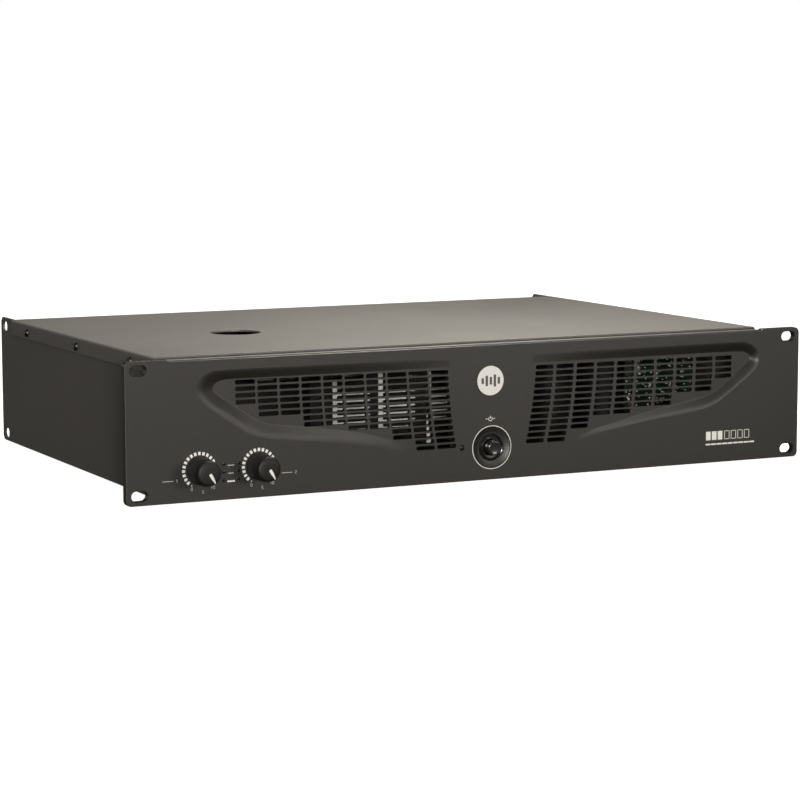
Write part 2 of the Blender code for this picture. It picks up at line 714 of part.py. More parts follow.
def light_pipes():
    """Each column's three indicator windows are the ends of one moulded comb of clear plastic."""
    for number, across in enumerate(LIGHT_X, 1):
        body = bmesh.new()
        low, high = SUBPANEL_Y - 0.0020, CONTROL_BOARD_Y - GAP
        add_box(body, (across - COMB_HALF, low, COMB_LOW), (across + COMB_HALF, high, COMB_HIGH))
        comb = place_mesh(f"light_pipe_{number}", body, (across, low, LIGHT_Z[1]), "light_lens")
        fingers = bmesh.new()
        for up in LIGHT_Z:
            profile = [(0.0, -0.0006), (LIGHT_RADIUS * 0.6, -0.0005), (LIGHT_RADIUS, 0.0),
                    (LIGHT_RADIUS, low + 0.001),
                       (0.0, low + 0.001)]
            add_turned(fingers, profile, "Y", (across, up), 12)
        combine(comb, fingers, "UNION")


def power_control():
    """Round push cap in a stepped bezel, and the switch it works behind the subpanel."""
    body = bmesh.new()
    centre = (POWER_X, POWER_Z)
    profile = [
        (BEZEL_RADIUS, 0.0006), (BEZEL_RADIUS, 0.0155), (BEZEL_HOLE_RADIUS - 0.0010, 0.0155),
        (BEZEL_HOLE_RADIUS - 0.0010, 0.0060), (BEZEL_HOLE_RADIUS, 0.0042), (BEZEL_HOLE_RADIUS + 0.0006,
                0.0006),
    ]
    add_turned(body, profile, "Y", centre, 24)
    place_mesh("power_bezel", body, (POWER_X, 0.0, POWER_Z), "gloss_black")

    body = bmesh.new()
    reach, radius = -POWER_CAP_REACH, POWER_CAP_RADIUS
    profile = [
        (0.0, reach), (radius * 0.86, reach), (radius, reach + 0.0007), (radius, 0.0120), (0.0022, 0.0120),
        (0.0022, 0.0250), (0.0, 0.0250),
    ]
    add_turned(body, profile, "Y", centre, 20)
    place_mesh("power_button", body, (POWER_X, reach, POWER_Z), "black_plastic")

    body = bmesh.new()
    low, high = 0.0162, 0.0460
    add_box(body, (POWER_X - 0.0085, low, POWER_Z - 0.0075), (POWER_X + 0.0085, high, POWER_Z + 0.0075))
    switch = place_mesh("power_switch", body, (POWER_X, low, POWER_Z), "black_plastic")
    bore = bmesh.new()
    add_rod(bore, "Y", centre, 0.0026, low - 0.002, 0.0300, 16)
    combine(switch, bore, "DIFFERENCE")


def badge():
    body = bmesh.new()
    radius = BADGE_RADIUS
    profile = [(0.0, -0.0014), (radius * 0.90, -0.0013), (radius, -0.0008), (radius, -0.0003),
            (0.0, -0.0003)]
    add_turned(body, profile, "Y", (BADGE_X, BADGE_Z), 28)
    place_mesh("badge", body, (BADGE_X, 0.0, BADGE_Z), "white_print")


def transformer():
    low, high = TRANSFORMER_LOW_Z, TRANSFORMER_HIGH_Z
    centre = (TRANSFORMER_X, TRANSFORMER_Y)
    corner = 0.0110
    profile = []
    corners = (
        (TRANSFORMER_RADIUS - corner, low + corner, -90.0), (TRANSFORMER_RADIUS - corner, high - corner,
                0.0),
        (TRANSFORMER_BORE + corner, high - corner, 90.0), (TRANSFORMER_BORE + corner, low + corner, 180.0),
    )
    for radius, along, first in corners:
        for i in range(4):
            angle = math.radians(first + 30.0 * i)
            profile.append((radius + corner * math.cos(angle), along + corner * math.sin(angle)))
    body = bmesh.new()
    add_turned(body, profile, "Z", centre, 32)
    place_mesh("transformer", body, (*centre, low), "winding_tape")

    body = bmesh.new()
    base = high + GAP
    profile = [
        (0.0042, base + 0.0020), (0.0180, base + 0.0020), (0.0270, base), (0.0330, base), (0.0330,
                base + 0.0015),
        (0.0275, base + 0.0015), (0.0185, base + 0.0035), (0.0042, base + 0.0035),
    ]
    add_turned(body, profile, "Z", centre, 24)
    place_mesh("transformer_dish", body, (*centre, base), "zinc_sheet")

    body = bmesh.new()
    head = base + 0.0035 + GAP
    flange, hexagon = head + 0.0012, head + 0.0065
    profile = [
        (0.0, hexagon), (0.0055, hexagon), (0.0058, flange), (0.0075, flange), (0.0075, head), (0.0038,
                head),
        (0.0038, TRANSFORMER_LOW_Z), (0.0, TRANSFORMER_LOW_Z),
    ]
    add_turned(body, profile, "Z", centre, 18)
    place_mesh("transformer_bolt", body, (*centre, head), "steel")


def heat_sinks():
    """Three comb-shaped extrusions stand side by side in the air stream ahead of the fan."""
    for number, left in enumerate(SINK_X, 1):
        right = left + SINK_WEB
        tip = right + FIN_LENGTH
        outline = [(left, BOARD_Z + BOARD_THICKNESS + GAP), (right, BOARD_Z + BOARD_THICKNESS + GAP)]
        for i in range(FIN_COUNT):
            bottom = SINK_FIRST_FIN_Z + i * FIN_PITCH
            outline += [(right, bottom), (tip, bottom), (tip, bottom + FIN_THICKNESS),
                    (right, bottom + FIN_THICKNESS)]
        outline[-1] = (left, bottom + FIN_THICKNESS)
        body = bmesh.new()
        add_prism(body, outline, "Y", SINK_FRONT_Y, SINK_REAR_Y)
        place_mesh(f"heat_sink_{number}", body, (left, SINK_FRONT_Y, BOARD_Z), "raw_aluminium")


def flat_board(name, corners):
    (left, front), (right, back) = corners
    body = bmesh.new()
    add_box(body, (left, front, BOARD_Z), (right, back, BOARD_Z + BOARD_THICKNESS))
    return place_mesh(name, body, (left, front, BOARD_Z), "board_green")


def output_boards():
    """A circuit board under the rear of the heat sinks, its power transistors standing against their webs."""
    top = BOARD_Z + BOARD_THICKNESS
    for number, corners in enumerate(OUTPUT_BOARDS, 1):
        board = flat_board(f"output_board_{number}", corners)
        parts = bmesh.new()
        webs = SINK_X[:1] if number == 1 else SINK_X[1:]
        for left in webs:
            for along in TRANSISTOR_Y:
                add_box(parts, (left - 0.0053, along, top - 0.0003),
                        (left - GAP, along + 0.0158, top + 0.0250))
        combine(board, parts, "UNION")


def supply_board():
    board = flat_board("supply_board", SUPPLY_BOARD)
    parts = bmesh.new()
    top = BOARD_Z + BOARD_THICKNESS
    for across, along, width, depth, height in (
        (0.073, 0.082, 0.006, 0.030, 0.025), (0.190, 0.084, 0.016, 0.010, 0.018), (0.190, 0.100, 0.010,
                0.016, 0.012),
        (0.190, 0.150, 0.014, 0.010, 0.009), (0.080, 0.150, 0.012, 0.012, 0.015), (0.150, 0.0760, 0.054,
                0.0016, 0.0540),
    ):
        add_box(parts, (across, along, top - 0.0004), (across + width, along + depth, top + height))
    combine(board, parts, "UNION")
    for number, (across, along) in enumerate(((0.1050, 0.0990), (0.1450, 0.0990)), 1):
        body = bmesh.new()
        low, high, radius = top + GAP, top + 0.0520, 0.0160
        profile = [
            (0.0, high - 0.0006), (radius * 0.85, high - 0.0006), (radius * 0.88, high), (radius * 0.95,
                    high),
            (radius, high - 0.0010), (radius, low + 0.0040), (radius * 0.94, low + 0.0030), (radius,
                    low + 0.0020),
            (radius, low), (0.0, low),
        ]
        add_turned(body, profile, "Z", (across, along), 18)
        place_mesh(f"capacitor_{number}", body, (across, along, low), "capacitor_sleeve")


def cooling_fan():
    rear = REAR_FACE_Y - SHEET - GAP
    front = rear - FAN_DEPTH
    centre = (FAN_X, FAN_Z)
    half = FAN_SIZE / 2
    body = bmesh.new()
    outline = rounded_box_outline((FAN_X - half, FAN_Z - half), (FAN_X + half, FAN_Z + half), 0.0040)
    add_prism(body, outline, "Y", front, rear)
    frame = place_mesh("fan_frame", body, (FAN_X, front, FAN_Z), "black_plastic")
    bore = bmesh.new()
    add_rod(bore, "Y", centre, FAN_BORE_RADIUS, front - 0.002, rear + 0.002, 32)
    combine(frame, bore, "DIFFERENCE")
    spokes = bmesh.new()
    for i in range(4):
        angle = math.radians(45.0 + 90.0 * i)
        along, across = (math.cos(angle), math.sin(angle)), (-math.sin(angle), math.cos(angle))
        outline = []
        for a, b in ((0.004, -0.0016), (FAN_BORE_RADIUS + 0.0015, -0.0016),
                (FAN_BORE_RADIUS + 0.0015, 0.0016), (0.004, 0.0016)):
            outline.append((centre[0] + a * along[0] + b * across[0],
                    centre[1] + a * along[1] + b * across[1]))
        add_prism(spokes, outline, "Y", front + 0.0002, front + 0.0030)
    hub = bmesh.new()
    add_rod(hub, "Y", centre, FAN_HUB_RADIUS, front, front + 0.0034, 20)
    combine(frame, hub, "UNION", "hub")
    combine(frame, spokes, "UNION", "spokes")

    body = bmesh.new()
    low, high = front + 0.0044, rear - 0.0020
    add_rod(body, "Y", centre, FAN_HUB_RADIUS, low, high, 20)
    rotor = place_mesh("fan_rotor", body, (FAN_X, low, FAN_Z), "black_plastic")
    blades = bmesh.new()
    tip = FAN_BORE_RADIUS - 0.0010
    for i in range(FAN_BLADES):
        middle = 2 * math.pi * i / FAN_BLADES
        add_blade(blades, centre, middle, tip, low + 0.0020, high - 0.0010)
    combine(rotor, blades, "UNION")

    fan_guard(centre)


def add_blade(body, centre, middle, tip, low, high):
    """One swept, twisted fan blade, its root buried in the hub."""
    thickness, rows = 0.0007, 4
    sections = []
    for i in range(rows + 1):
        share = i / rows
        radius = FAN_HUB_RADIUS - 0.0015 + (tip - FAN_HUB_RADIUS + 0.0015) * share
        sweep = middle + 0.10 * share
        half_angle = 0.30 + 0.04 * share
        corners = []
        for turn, along in ((-1, low + 0.003 * share), (1, high - 0.003 * share)):
            angle = sweep + turn * half_angle
            for offset in (-thickness, thickness):
                shift = offset / radius
                corners.append((centre[0] + radius * math.cos(angle + shift), along,
                        centre[1] + radius * math.sin(angle + shift)))
        sections.append([body.verts.new(corners[k]) for k in (0, 1, 3, 2)])
    body.faces.new(sections[0])
    body.faces.new(sections[-1][::-1])
    for first, second in zip(sections, sections[1:]):
        for k in range(4):
            m = (k + 1) % 4
            body.faces.new((first[k], second[k], second[m], first[m]))


def fan_guard(centre):
    """Finger guard: flat rings joined by four spokes to screw eyes at the fan's corners."""
    low, high = REAR_FACE_Y + GAP, REAR_FACE_Y + 0.0022
    body = bmesh.new()
    add_turned(body, [(0.0370, low), (0.0384, low), (0.0384, high), (0.0370, high)], "Y", centre, 24)
    guard = place_mesh("fan_guard", body, (centre[0], low, centre[1]), "steel")
    for number, radius in enumerate((0.0300, 0.0225, 0.0150, 0.0075)):
        ring = bmesh.new()
        add_turned(ring, [(radius - 0.0007, low), (radius + 0.0007, low), (radius + 0.0007, high),
                (radius - 0.0007, high)],
                   "Y", centre, 16)
        combine(guard, ring, "UNION", f"ring_{number}")
    for number, turn in enumerate((45.0, 135.0)):
        angle = math.radians(turn)
        along, across = (math.cos(angle), math.sin(angle)), (-math.sin(angle), math.cos(angle))
        outline = []
        for a, b in ((-0.0540, -0.0008), (0.0540, -0.0008), (0.0540, 0.0008), (-0.0540, 0.0008)):
            outline.append((centre[0] + a * along[0] + b * across[0],
                    centre[1] + a * along[1] + b * across[1]))
        bar = bmesh.new()
        add_prism(bar, outline, "Y", low + 0.0001, high - 0.0001)
        combine(guard, bar, "UNION", f"bar_{number}")


def connector_shell(name, across, up, depth, socket_radius, socket_depth, core_radius, core_depth):
    """A flanged round chassis connector with a round socket, and a centre core in the speaker type."""
    body = bmesh.new()
    front = REAR_FACE_Y - depth
    width, height = INPUT_FLANGE
    outline = rounded_box_outline((across - width / 2, up - height / 2),
            (across + width / 2, up + height / 2), 0.0025, 3)
    mouth = REAR_FACE_Y + 0.0022
    add_prism(body, outline, "Y", REAR_FACE_Y + GAP, mouth)
    shell = place_mesh(name, body, (across, REAR_FACE_Y, up), "black_plastic")
    barrel = bmesh.new()
    add_rod(barrel, "Y", (across, up), CONNECTOR_BARREL_RADIUS, front, mouth - 0.0004, 20)
    combine(shell, barrel, "UNION")
    socket = bmesh.new()
    floor = mouth - socket_depth
    outside = mouth + 0.0020
    if core_radius:
        top = mouth - core_depth
        profile = [
            (0.0, outside), (socket_radius, outside), (socket_radius, floor), (core_radius,
                    floor), (core_radius, top),
            (0.0, top),
        ]
    else:
        profile = [(0.0, outside), (socket_radius, outside), (socket_radius, floor), (0.0, floor)]
    add_turned(socket, profile, "Y", (across, up), 20)
    combine(shell, socket, "DIFFERENCE", "socket")
    return shell


def input_connectors():
    for number, up in enumerate(CONNECTOR_Z, 1):
        shell = connector_shell(f"input_socket_{number}", INPUT_X, up, 0.0240, 0.0090, 0.0150, 0.0, 0.0)
        low, high = up + LATCH_LOW, up + LATCH_HIGH
        half = LATCH_WIDTH / 2
        notch = bmesh.new()
        add_box(notch, (INPUT_X - half - GAP, REAR_FACE_Y - 0.0060, low - GAP),
                (INPUT_X + half + GAP, REAR_FACE_Y + 0.005, high + GAP))
        combine(shell, notch, "DIFFERENCE", "notch")
        body = bmesh.new()
        add_box(body, (INPUT_X - half, REAR_FACE_Y - 0.0030, low),
                (INPUT_X + half, REAR_FACE_Y + LATCH_REACH, high))
        place_mesh(f"input_latch_{number}", body, (INPUT_X, REAR_FACE_Y, (low + high) / 2), "steel")


def speaker_connectors():
    for number, up in enumerate(CONNECTOR_Z, 1):
        connector_shell(f"speaker_socket_{number}", SPEAKER_X, up, 0.0200, 0.0098, 0.0150, 0.0045, 0.0012)


def binding_posts():
    for pair, up in enumerate(CONNECTOR_Z, 1):
        body = bmesh.new()
        half_width, half_height = POST_PITCH / 2 + 0.0085, 0.0085
        low, high = REAR_FACE_Y + GAP, REAR_FACE_Y + 0.0030
        outline = rounded_box_outline((POST_X - half_width, up - half_height),
                (POST_X + half_width, up + half_height), 0.0030, 3)
        add_prism(body, outline, "Y", low, high)
        base = place_mesh(f"post_base_{pair}", body, (POST_X, low, up), "black_plastic")
        studs = bmesh.new()
        for turn in (-0.5, 0.5):
            across = POST_X + turn * POST_PITCH
            add_rod(studs, "Y", (across, up), 0.0020, REAR_FACE_Y - 0.0120, REAR_FACE_Y + 0.0190, 14)
        combine(base, studs, "UNION")
        for turn, colour, look in ((-0.5, "black", "black_plastic"), (0.5, "red", "clear_red")):
            across = POST_X + turn * POST_PITCH
            start, end, radius = high + 0.0016, REAR_FACE_Y + 0.0220, POST_CAP_RADIUS
            cap = bmesh.new()
            outline = []
            for i in range(24):
                angle = 2 * math.pi * i / 24
                grip = radius if i % 3 else radius - 0.0005
                outline.append((across + grip * math.cos(angle), up + grip * math.sin(angle)))
            add_prism(cap, outline, "Y", start, end)
            obj = place_mesh(f"post_cap_{colour}_{pair}", cap, (across, start, up), look)
            bore = bmesh.new()
            add_rod(bore, "Y", (across, up), 0.0020 + GAP / 3, start - 0.002, REAR_FACE_Y + 0.0193, 14)
            combine(obj, bore, "DIFFERENCE")


def mode_switch():
    body = bmesh.new()
    low = REAR_FACE_Y - SHEET - 0.0090
    top = REAR_FACE_Y - SHEET - GAP
    add_box(body, (SWITCH_X - 0.0100, low, SWITCH_Z - 0.0050), (SWITCH_X + 0.0100, top, SWITCH_Z + 0.0050))
    frame = place_mesh("mode_switch", body, (SWITCH_X, low, SWITCH_Z), "steel")
    pocket = bmesh.new()
    add_box(pocket, (SWITCH_X - 0.0064, top - 0.0040, SWITCH_Z - 0.0026),
            (SWITCH_X + 0.0064, top + 0.002, SWITCH_Z + 0.0026))
    combine(frame, pocket, "DIFFERENCE")
    body = bmesh.new()
    half = 0.0020
    add_box(body, (SWITCH_X - half, top - 0.0034, SWITCH_Z - 0.0022),
            (SWITCH_X + half, REAR_FACE_Y + 0.0022, SWITCH_Z + 0.0022))
    place_mesh("mode_slider", body, (SWITCH_X, REAR_FACE_Y, SWITCH_Z), "black_plastic")


def mains_inlet():
    width, height = 0.0270, 0.0198
    mouth = REAR_FACE_Y + 0.0030
    body = bmesh.new()
    outline = rounded_box_outline((INLET_X - 0.0250, INLET_Z - 0.0125),
            (INLET_X + 0.0250, INLET_Z + 0.0125), 0.0060, 4)
    add_prism(body, outline, "Y", REAR_FACE_Y + GAP, mouth)
    inlet = place_mesh("mains_inlet", body, (INLET_X, REAR_FACE_Y, INLET_Z), "black_plastic")
    rear = bmesh.new()
    add_prism(rear, rounded_box_outline((INLET_X - width / 2, INLET_Z - height / 2),
            (INLET_X + width / 2, INLET_Z + height / 2),
                                        0.0020, 3), "Y", REAR_FACE_Y - 0.0180, mouth - 0.0004)
    combine(inlet, rear, "UNION")
    socket = bmesh.new()
    half_width, half_height, cut = 0.0121, 0.0079, 0.0050
    outline = [
        (INLET_X - half_width, INLET_Z - half_height), (INLET_X + half_width, INLET_Z - half_height),
        (INLET_X + half_width, INLET_Z + half_height - cut), (INLET_X + half_width - cut,
                INLET_Z + half_height),
        (INLET_X - half_width + cut, INLET_Z + half_height), (INLET_X - half_width,
                INLET_Z + half_height - cut),
    ]
    add_prism(socket, outline, "Y", REAR_FACE_Y - 0.0130, mouth + 0.002)
    combine(inlet, socket, "DIFFERENCE", "socket")
    pins = bmesh.new()
    for across, up in ((0.0, 0.0020), (-0.0070, -0.0020), (0.0070, -0.0020)):
        add_box(pins, (INLET_X + across - 0.0010, REAR_FACE_Y - 0.0140, INLET_Z + up - 0.0020),
                (INLET_X + across + 0.0010, REAR_FACE_Y + 0.0005, INLET_Z + up + 0.0020))
    combine(inlet, pins, "UNION", "pins")


def breaker():
    centre = (BREAKER_X, BREAKER_Z)
    body = bmesh.new()
    low, high = REAR_FACE_Y - 0.0300, REAR_FACE_Y - SHEET - GAP
    add_box(body, (BREAKER_X - 0.0070, low, BREAKER_Z - 0.0150),
            (BREAKER_X + 0.0070, high, BREAKER_Z + 0.0150))
    case = place_mesh("breaker", body, (BREAKER_X, REAR_FACE_Y, BREAKER_Z), "black_plastic")
    neck = bmesh.new()
    add_rod(neck, "Y", centre, 0.0060, high - 0.0010, REAR_FACE_Y + 0.0050, 24)
    combine(case, neck, "UNION")
    bore = bmesh.new()
    add_rod(bore, "Y", centre, 0.0040, REAR_FACE_Y - 0.0100, REAR_FACE_Y + 0.0080, 20)
    combine(case, bore, "DIFFERENCE", "bore")
    body = bmesh.new()
    profile = [(0.0, REAR_FACE_Y - 0.0094), (0.0036, REAR_FACE_Y - 0.0094), (0.0036, REAR_FACE_Y + 0.0070),
               (0.0031, REAR_FACE_Y + 0.0076), (0.0, REAR_FACE_Y + 0.0076)]
    add_turned(body, profile, "Y", centre, 20)
    place_mesh("breaker_button", body, (BREAKER_X, REAR_FACE_Y, BREAKER_Z), "red_plastic")


def input_board():
    low, high = REAR_FACE_Y - 0.0290, REAR_FACE_Y - 0.0290 + BOARD_THICKNESS
    body = bmesh.new()
    add_box(body, (INPUT_X - 0.0220, low, 0.0080), (INPUT_X + 0.0190, high, 0.0800))
    board = place_mesh("input_board", body, (INPUT_X, low, 0.0080), "board_green")
    parts = bmesh.new()
    for offset, up, width, height in ((-0.016, 0.040, 0.010, 0.006), (0.002, 0.038, 0.012, 0.008),
            (-0.018, 0.066, 0.006, 0.010)):
        add_box(parts, (INPUT_X + offset, low - 0.0040, up), (INPUT_X + offset + width, low + 0.0003,
                up + height))
    combine(board, parts, "UNION")


def build():
    remove_everything()
    frame = bpy.data.objects.new("amplifier_frame", None)
    frame.location = (0.0, FRAME_SHIFT_Y, 0.0)
    bpy.context.scene.collection.objects.link(frame)
    front_panel()
    subpanel()
    base_pan()
    side_wall("side_left", -1)
    side_wall("side_right", 1)
    top_cover()
    rear_panel()
    side_screws()
    for number, across in enumerate(GAIN_X, 1):
        gain_control(number, across)
    control_board()
    light_pipes()
    power_control()
    badge()
    screw("front_screw", "Y", (FRONT_SCREW_X, FRONT_SCREW_Z), -GAP / 3, -1, 0.0130)
    transformer()
    heat_sinks()
    output_boards()
    supply_board()
    cooling_fan()
    input_connectors()
    speaker_connectors()
    binding_posts()
    mode_switch()
    mains_inlet()
    breaker()
    input_board()


build()
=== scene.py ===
"""Looks for a two-unit rack power amplifier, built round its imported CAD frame."""

import json
import math
import random

import bmesh
import bpy
from mathutils import Matrix, Vector


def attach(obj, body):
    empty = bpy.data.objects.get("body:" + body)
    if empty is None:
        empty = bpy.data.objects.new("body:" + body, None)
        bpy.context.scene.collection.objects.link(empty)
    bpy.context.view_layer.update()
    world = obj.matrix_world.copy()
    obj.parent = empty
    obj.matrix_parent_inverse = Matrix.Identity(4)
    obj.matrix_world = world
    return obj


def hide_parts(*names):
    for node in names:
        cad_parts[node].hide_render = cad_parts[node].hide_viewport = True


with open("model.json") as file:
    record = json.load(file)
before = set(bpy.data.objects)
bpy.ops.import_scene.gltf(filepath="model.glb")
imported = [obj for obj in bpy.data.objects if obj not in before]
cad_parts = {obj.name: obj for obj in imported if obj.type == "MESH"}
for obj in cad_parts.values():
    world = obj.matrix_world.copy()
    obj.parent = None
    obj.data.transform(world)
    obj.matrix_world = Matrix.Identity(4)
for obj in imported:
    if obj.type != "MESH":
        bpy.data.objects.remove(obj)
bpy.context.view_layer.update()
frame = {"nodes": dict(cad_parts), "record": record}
NODES = frame["nodes"]

# The panel's face lies this far along Y; the other lengths below are measured from it.
FACE_Y = -0.15425
CHASSIS = "chassis"

PANEL_WIDTH = 0.4826
PANEL_HEIGHT = 0.0880
PANEL_THICKNESS = 0.0050
PANEL_CORNER = 0.0035
PANEL_TOP_STEP = 0.0012
PANEL_STEP_ENDS = (-0.2133, 0.2113)
EAR_INNER_X = 0.2175
EAR_PAD_STEP = 0.0004
PANEL_BOSSES = ((-0.2080, 0.0100), (-0.0560, 0.0080), (0.0800, 0.0080), (0.2060, 0.0100),
                (-0.0560, 0.0838), (0.0800, 0.0838))
RACK_SLOT_X = 0.23255
RACK_SLOT_Z = (0.00595, 0.08215)
RACK_SLOT_SIZE = (0.0105, 0.0065)

PATTERN_X = 0.0070
SLOTS_PER_COLUMN = (4, 6, 6, 8, 8, 9, 9, 11, 13, 13)
SLOT_SIZE = (0.0131, 0.0026)
SLOT_CORNER = 0.0010
# For each side: X of the outer column, step to the next column, top row's Z (outer, inner column),
# row pitch (outer, inner), sideways drift a row (outer, inner), and how fast that drift grows.
SLOT_GRID = {
    -1: (-0.1621, 0.01459, 0.0716, 0.0709, 0.00408, 0.00395, 0.00000, 0.00013, 0.0000265),
    1: (0.1834, -0.01532, 0.0696, 0.0707, 0.00400, 0.00396, -0.00004, -0.00026, -0.0000280),
}
# The floor of each hollow is a plane: depth = across * u + up * z - start.
FLOOR_PLANE = (0.02198, 0.0158, 0.001714)
# Behind each hollow a block is added and scooped out, which leaves a floor of even thickness and a rim.
FLOOR_SKIN = 0.0022
BACKING_FRONT = 0.0030
BACKING_RIM = 0.0040
BACKING_WALL = 0.0016
# Cutters start this far ahead of the panel's face and end this far behind it.
CUT_AHEAD = -0.0020
WING_AHEAD = -0.0060
CUT_BEHIND = 0.0120
LIP_EASE = 0.50
FLOOR_EASE = 0.08

GAIN_X = (-0.1938, -0.1546)
GAIN_Z = 0.0194
POWER_CENTRE = (0.0069, 0.0209)
BADGE_CENTRE = (0.0054, 0.0640)
BADGE_RADIUS = 0.0095
FRONT_SCREW = (-0.0146, 0.0218)
SCREW_FRONT = -0.0005
CROSS_REACH = 0.00095
CROSS_HALF = 0.00022
LIGHT_X = (-0.1781, -0.1683)
LIGHT_Z = (0.0126, 0.0178, 0.0226)
REAR_Y = 0.2985

# Points round each hollow, as (distance out from the pattern's middle, Z): the lip on the face, then
# the floor's edge in the left hollow, then the floor's edge in the right one.
WING_LOFT = (
    ((0.0300, 0.0805), (0.0300, 0.0737), (0.0300, 0.0737)),
    ((0.1000, 0.0805), (0.1000, 0.0737), (0.1000, 0.0735)),
    ((0.1550, 0.0805), (0.1500, 0.0737), (0.1550, 0.0735)),
    ((0.1880, 0.0804), (0.1757, 0.0737), (0.1880, 0.0732)),
    ((0.1950, 0.0790), (0.1840, 0.0732), (0.1935, 0.0723)),
    ((0.2000, 0.0757), (0.1880, 0.0717), (0.1965, 0.0708)),
    ((0.2028, 0.0708), (0.1896, 0.0695), (0.1974, 0.0690)),
    ((0.2029, 0.0653), (0.1888, 0.0668), (0.1960, 0.0664)),
    ((0.1972, 0.0586), (0.1840, 0.0628), (0.1895, 0.0618)),
    ((0.1910, 0.0541), (0.1790, 0.0595), (0.1840, 0.0578)),
    ((0.1863, 0.0508), (0.1745, 0.0564), (0.1805, 0.0548)),
    ((0.1795, 0.0461), (0.1700, 0.0535), (0.1750, 0.0512)),
    ((0.1729, 0.0416), (0.1650, 0.0502), (0.1690, 0.0475)),
    ((0.1671, 0.0382), (0.1605, 0.0476), (0.1640, 0.0455)),
    ((0.1604, 0.0362), (0.1550, 0.0455), (0.1590, 0.0441)),
    ((0.1532, 0.0347), (0.1490, 0.0443), (0.1525, 0.0431)),
    ((0.1342, 0.0324), (0.1320, 0.0423), (0.1340, 0.0403)),
    ((0.1140, 0.0302), (0.1130, 0.0397), (0.1138, 0.0366)),
    ((0.0943, 0.0273), (0.0940, 0.0365), (0.0940, 0.0322)),
    ((0.0838, 0.0255), (0.0840, 0.0340), (0.0840, 0.0302)),
    ((0.0736, 0.0234), (0.0740, 0.0310), (0.0740, 0.0280)),
    ((0.0616, 0.0179), (0.0620, 0.0255), (0.0620, 0.0235)),
    ((0.0505, 0.0139), (0.0510, 0.0205), (0.0510, 0.0190)),
    ((0.0300, 0.0095), (0.0300, 0.0140), (0.0300, 0.0130)),
)


# ---------------------------------------------------------------- materials


def node_material(name):
    material = bpy.data.materials.new(name)
    material.use_nodes = True
    return material, material.node_tree, material.node_tree.nodes["Principled BSDF"]


def put(tree, node, values):
    """Fills a node's inputs by name: a socket is linked, and a number or colour is set on the input."""
    for name, value in values.items():
        socket = node.inputs[name.replace("_", " ") if isinstance(name, str) else name]
        if isinstance(value, bpy.types.NodeSocket):
            tree.links.new(value, socket)
        elif isinstance(value, tuple) and socket.type == "RGBA":
            socket.default_value = (*value, 1.0)
        else:
            socket.default_value = value
    return node


def add_node(tree, kind, **values):
    return put(tree, tree.nodes.new("ShaderNode" + kind), values)


def object_coords(tree, stretch=(1.0, 1.0, 1.0)):
    coords = add_node(tree, "TexCoord").outputs["Object"]
    return add_node(tree, "Mapping", Vector=coords, Scale=stretch).outputs["Vector"]


def noise_node(tree, vector, scale, detail=2.0, roughness=0.5):
    return add_node(tree, "TexNoise", Vector=vector, Scale=scale, Detail=detail,
                    Roughness=roughness).outputs["Fac"]


def colour_ramp(tree, factor, stops):
    ramp = add_node(tree, "ValToRGB", Fac=factor)
    for element, (place, colour) in zip(ramp.color_ramp.elements, stops):
        element.position = place
        element.color = (*colour, 1.0)
    return ramp.outputs["Color"]


def map_range(tree, factor, low, high, from_low=0.0, from_high=1.0):
    return add_node(tree, "MapRange", Value=factor, From_Min=from_low, From_Max=from_high, To_Min=low,
                    To_Max=high).outputs["Result"]


def mix_colours(tree, factor, first, second):
    node = tree.nodes.new("ShaderNodeMix")
    node.data_type = "RGBA"
    return put(tree, node, {0: factor, 6: first, 7: second}).outputs[2]


def bump(tree, height, strength, distance):
    return add_node(tree, "Bump", Height=height, Strength=strength, Distance=distance).outputs["Normal"]


def scaled(colour, factor, lift=0.0):
    return tuple(min(1.0, c * factor + lift) for c in colour)


def powder_coat(name, dark, light, roughness, gleam=0.5):
    """Baked paint with a fine orange-peel grain, slow tone drift and pale flecks."""
    material, tree, shader = node_material(name)
    vector = object_coords(tree)
    drift = noise_node(tree, vector, 9.0, 3.0, 0.55)
    fine = noise_node(tree, vector, 1500.0, 2.0, 0.6)
    specks = noise_node(tree, vector, 2550.0, 1.0, 0.4)
    base = colour_ramp(tree, drift, ((0.30, dark), (0.72, light)))
    grainy = mix_colours(tree, map_range(tree, fine, 0.0, 0.35, 0.35, 0.75), base, scaled(light, 1.6))
    flecked = mix_colours(tree, map_range(tree, specks, 0.0, 0.5, 0.66, 0.80), grainy,
                          scaled(light, 3.2, 0.02))
    put(tree, shader, {"Base Color": flecked, "Specular IOR Level": gleam,
                       "Roughness": map_range(tree, fine, roughness - 0.07, roughness + 0.09),
                       "Normal": bump(tree, fine, 0.30, 0.00012)})
    return material


def moulded_plastic(name, dark, light, roughness, grain=2200.0, depth=0.00008, strength=0.25,
                    coat=0.0, gleam=0.5):
    """Moulded plastic with a fine surface grain and a slight drift of tone."""
    material, tree, shader = node_material(name)
    vector = object_coords(tree)
    drift = noise_node(tree, vector, 60.0, 3.0, 0.5)
    fine = noise_node(tree, vector, grain, 2.0, 0.5)
    put(tree, shader, {"Base Color": colour_ramp(tree, drift, ((0.3, dark), (0.7, light))),
                       "Roughness": map_range(tree, fine, roughness - 0.06, roughness + 0.08),
                       "Coat Weight": coat, "Coat Roughness": 0.08, "Specular IOR Level": gleam,
                       "Normal": bump(tree, fine, strength, depth)})
    return material


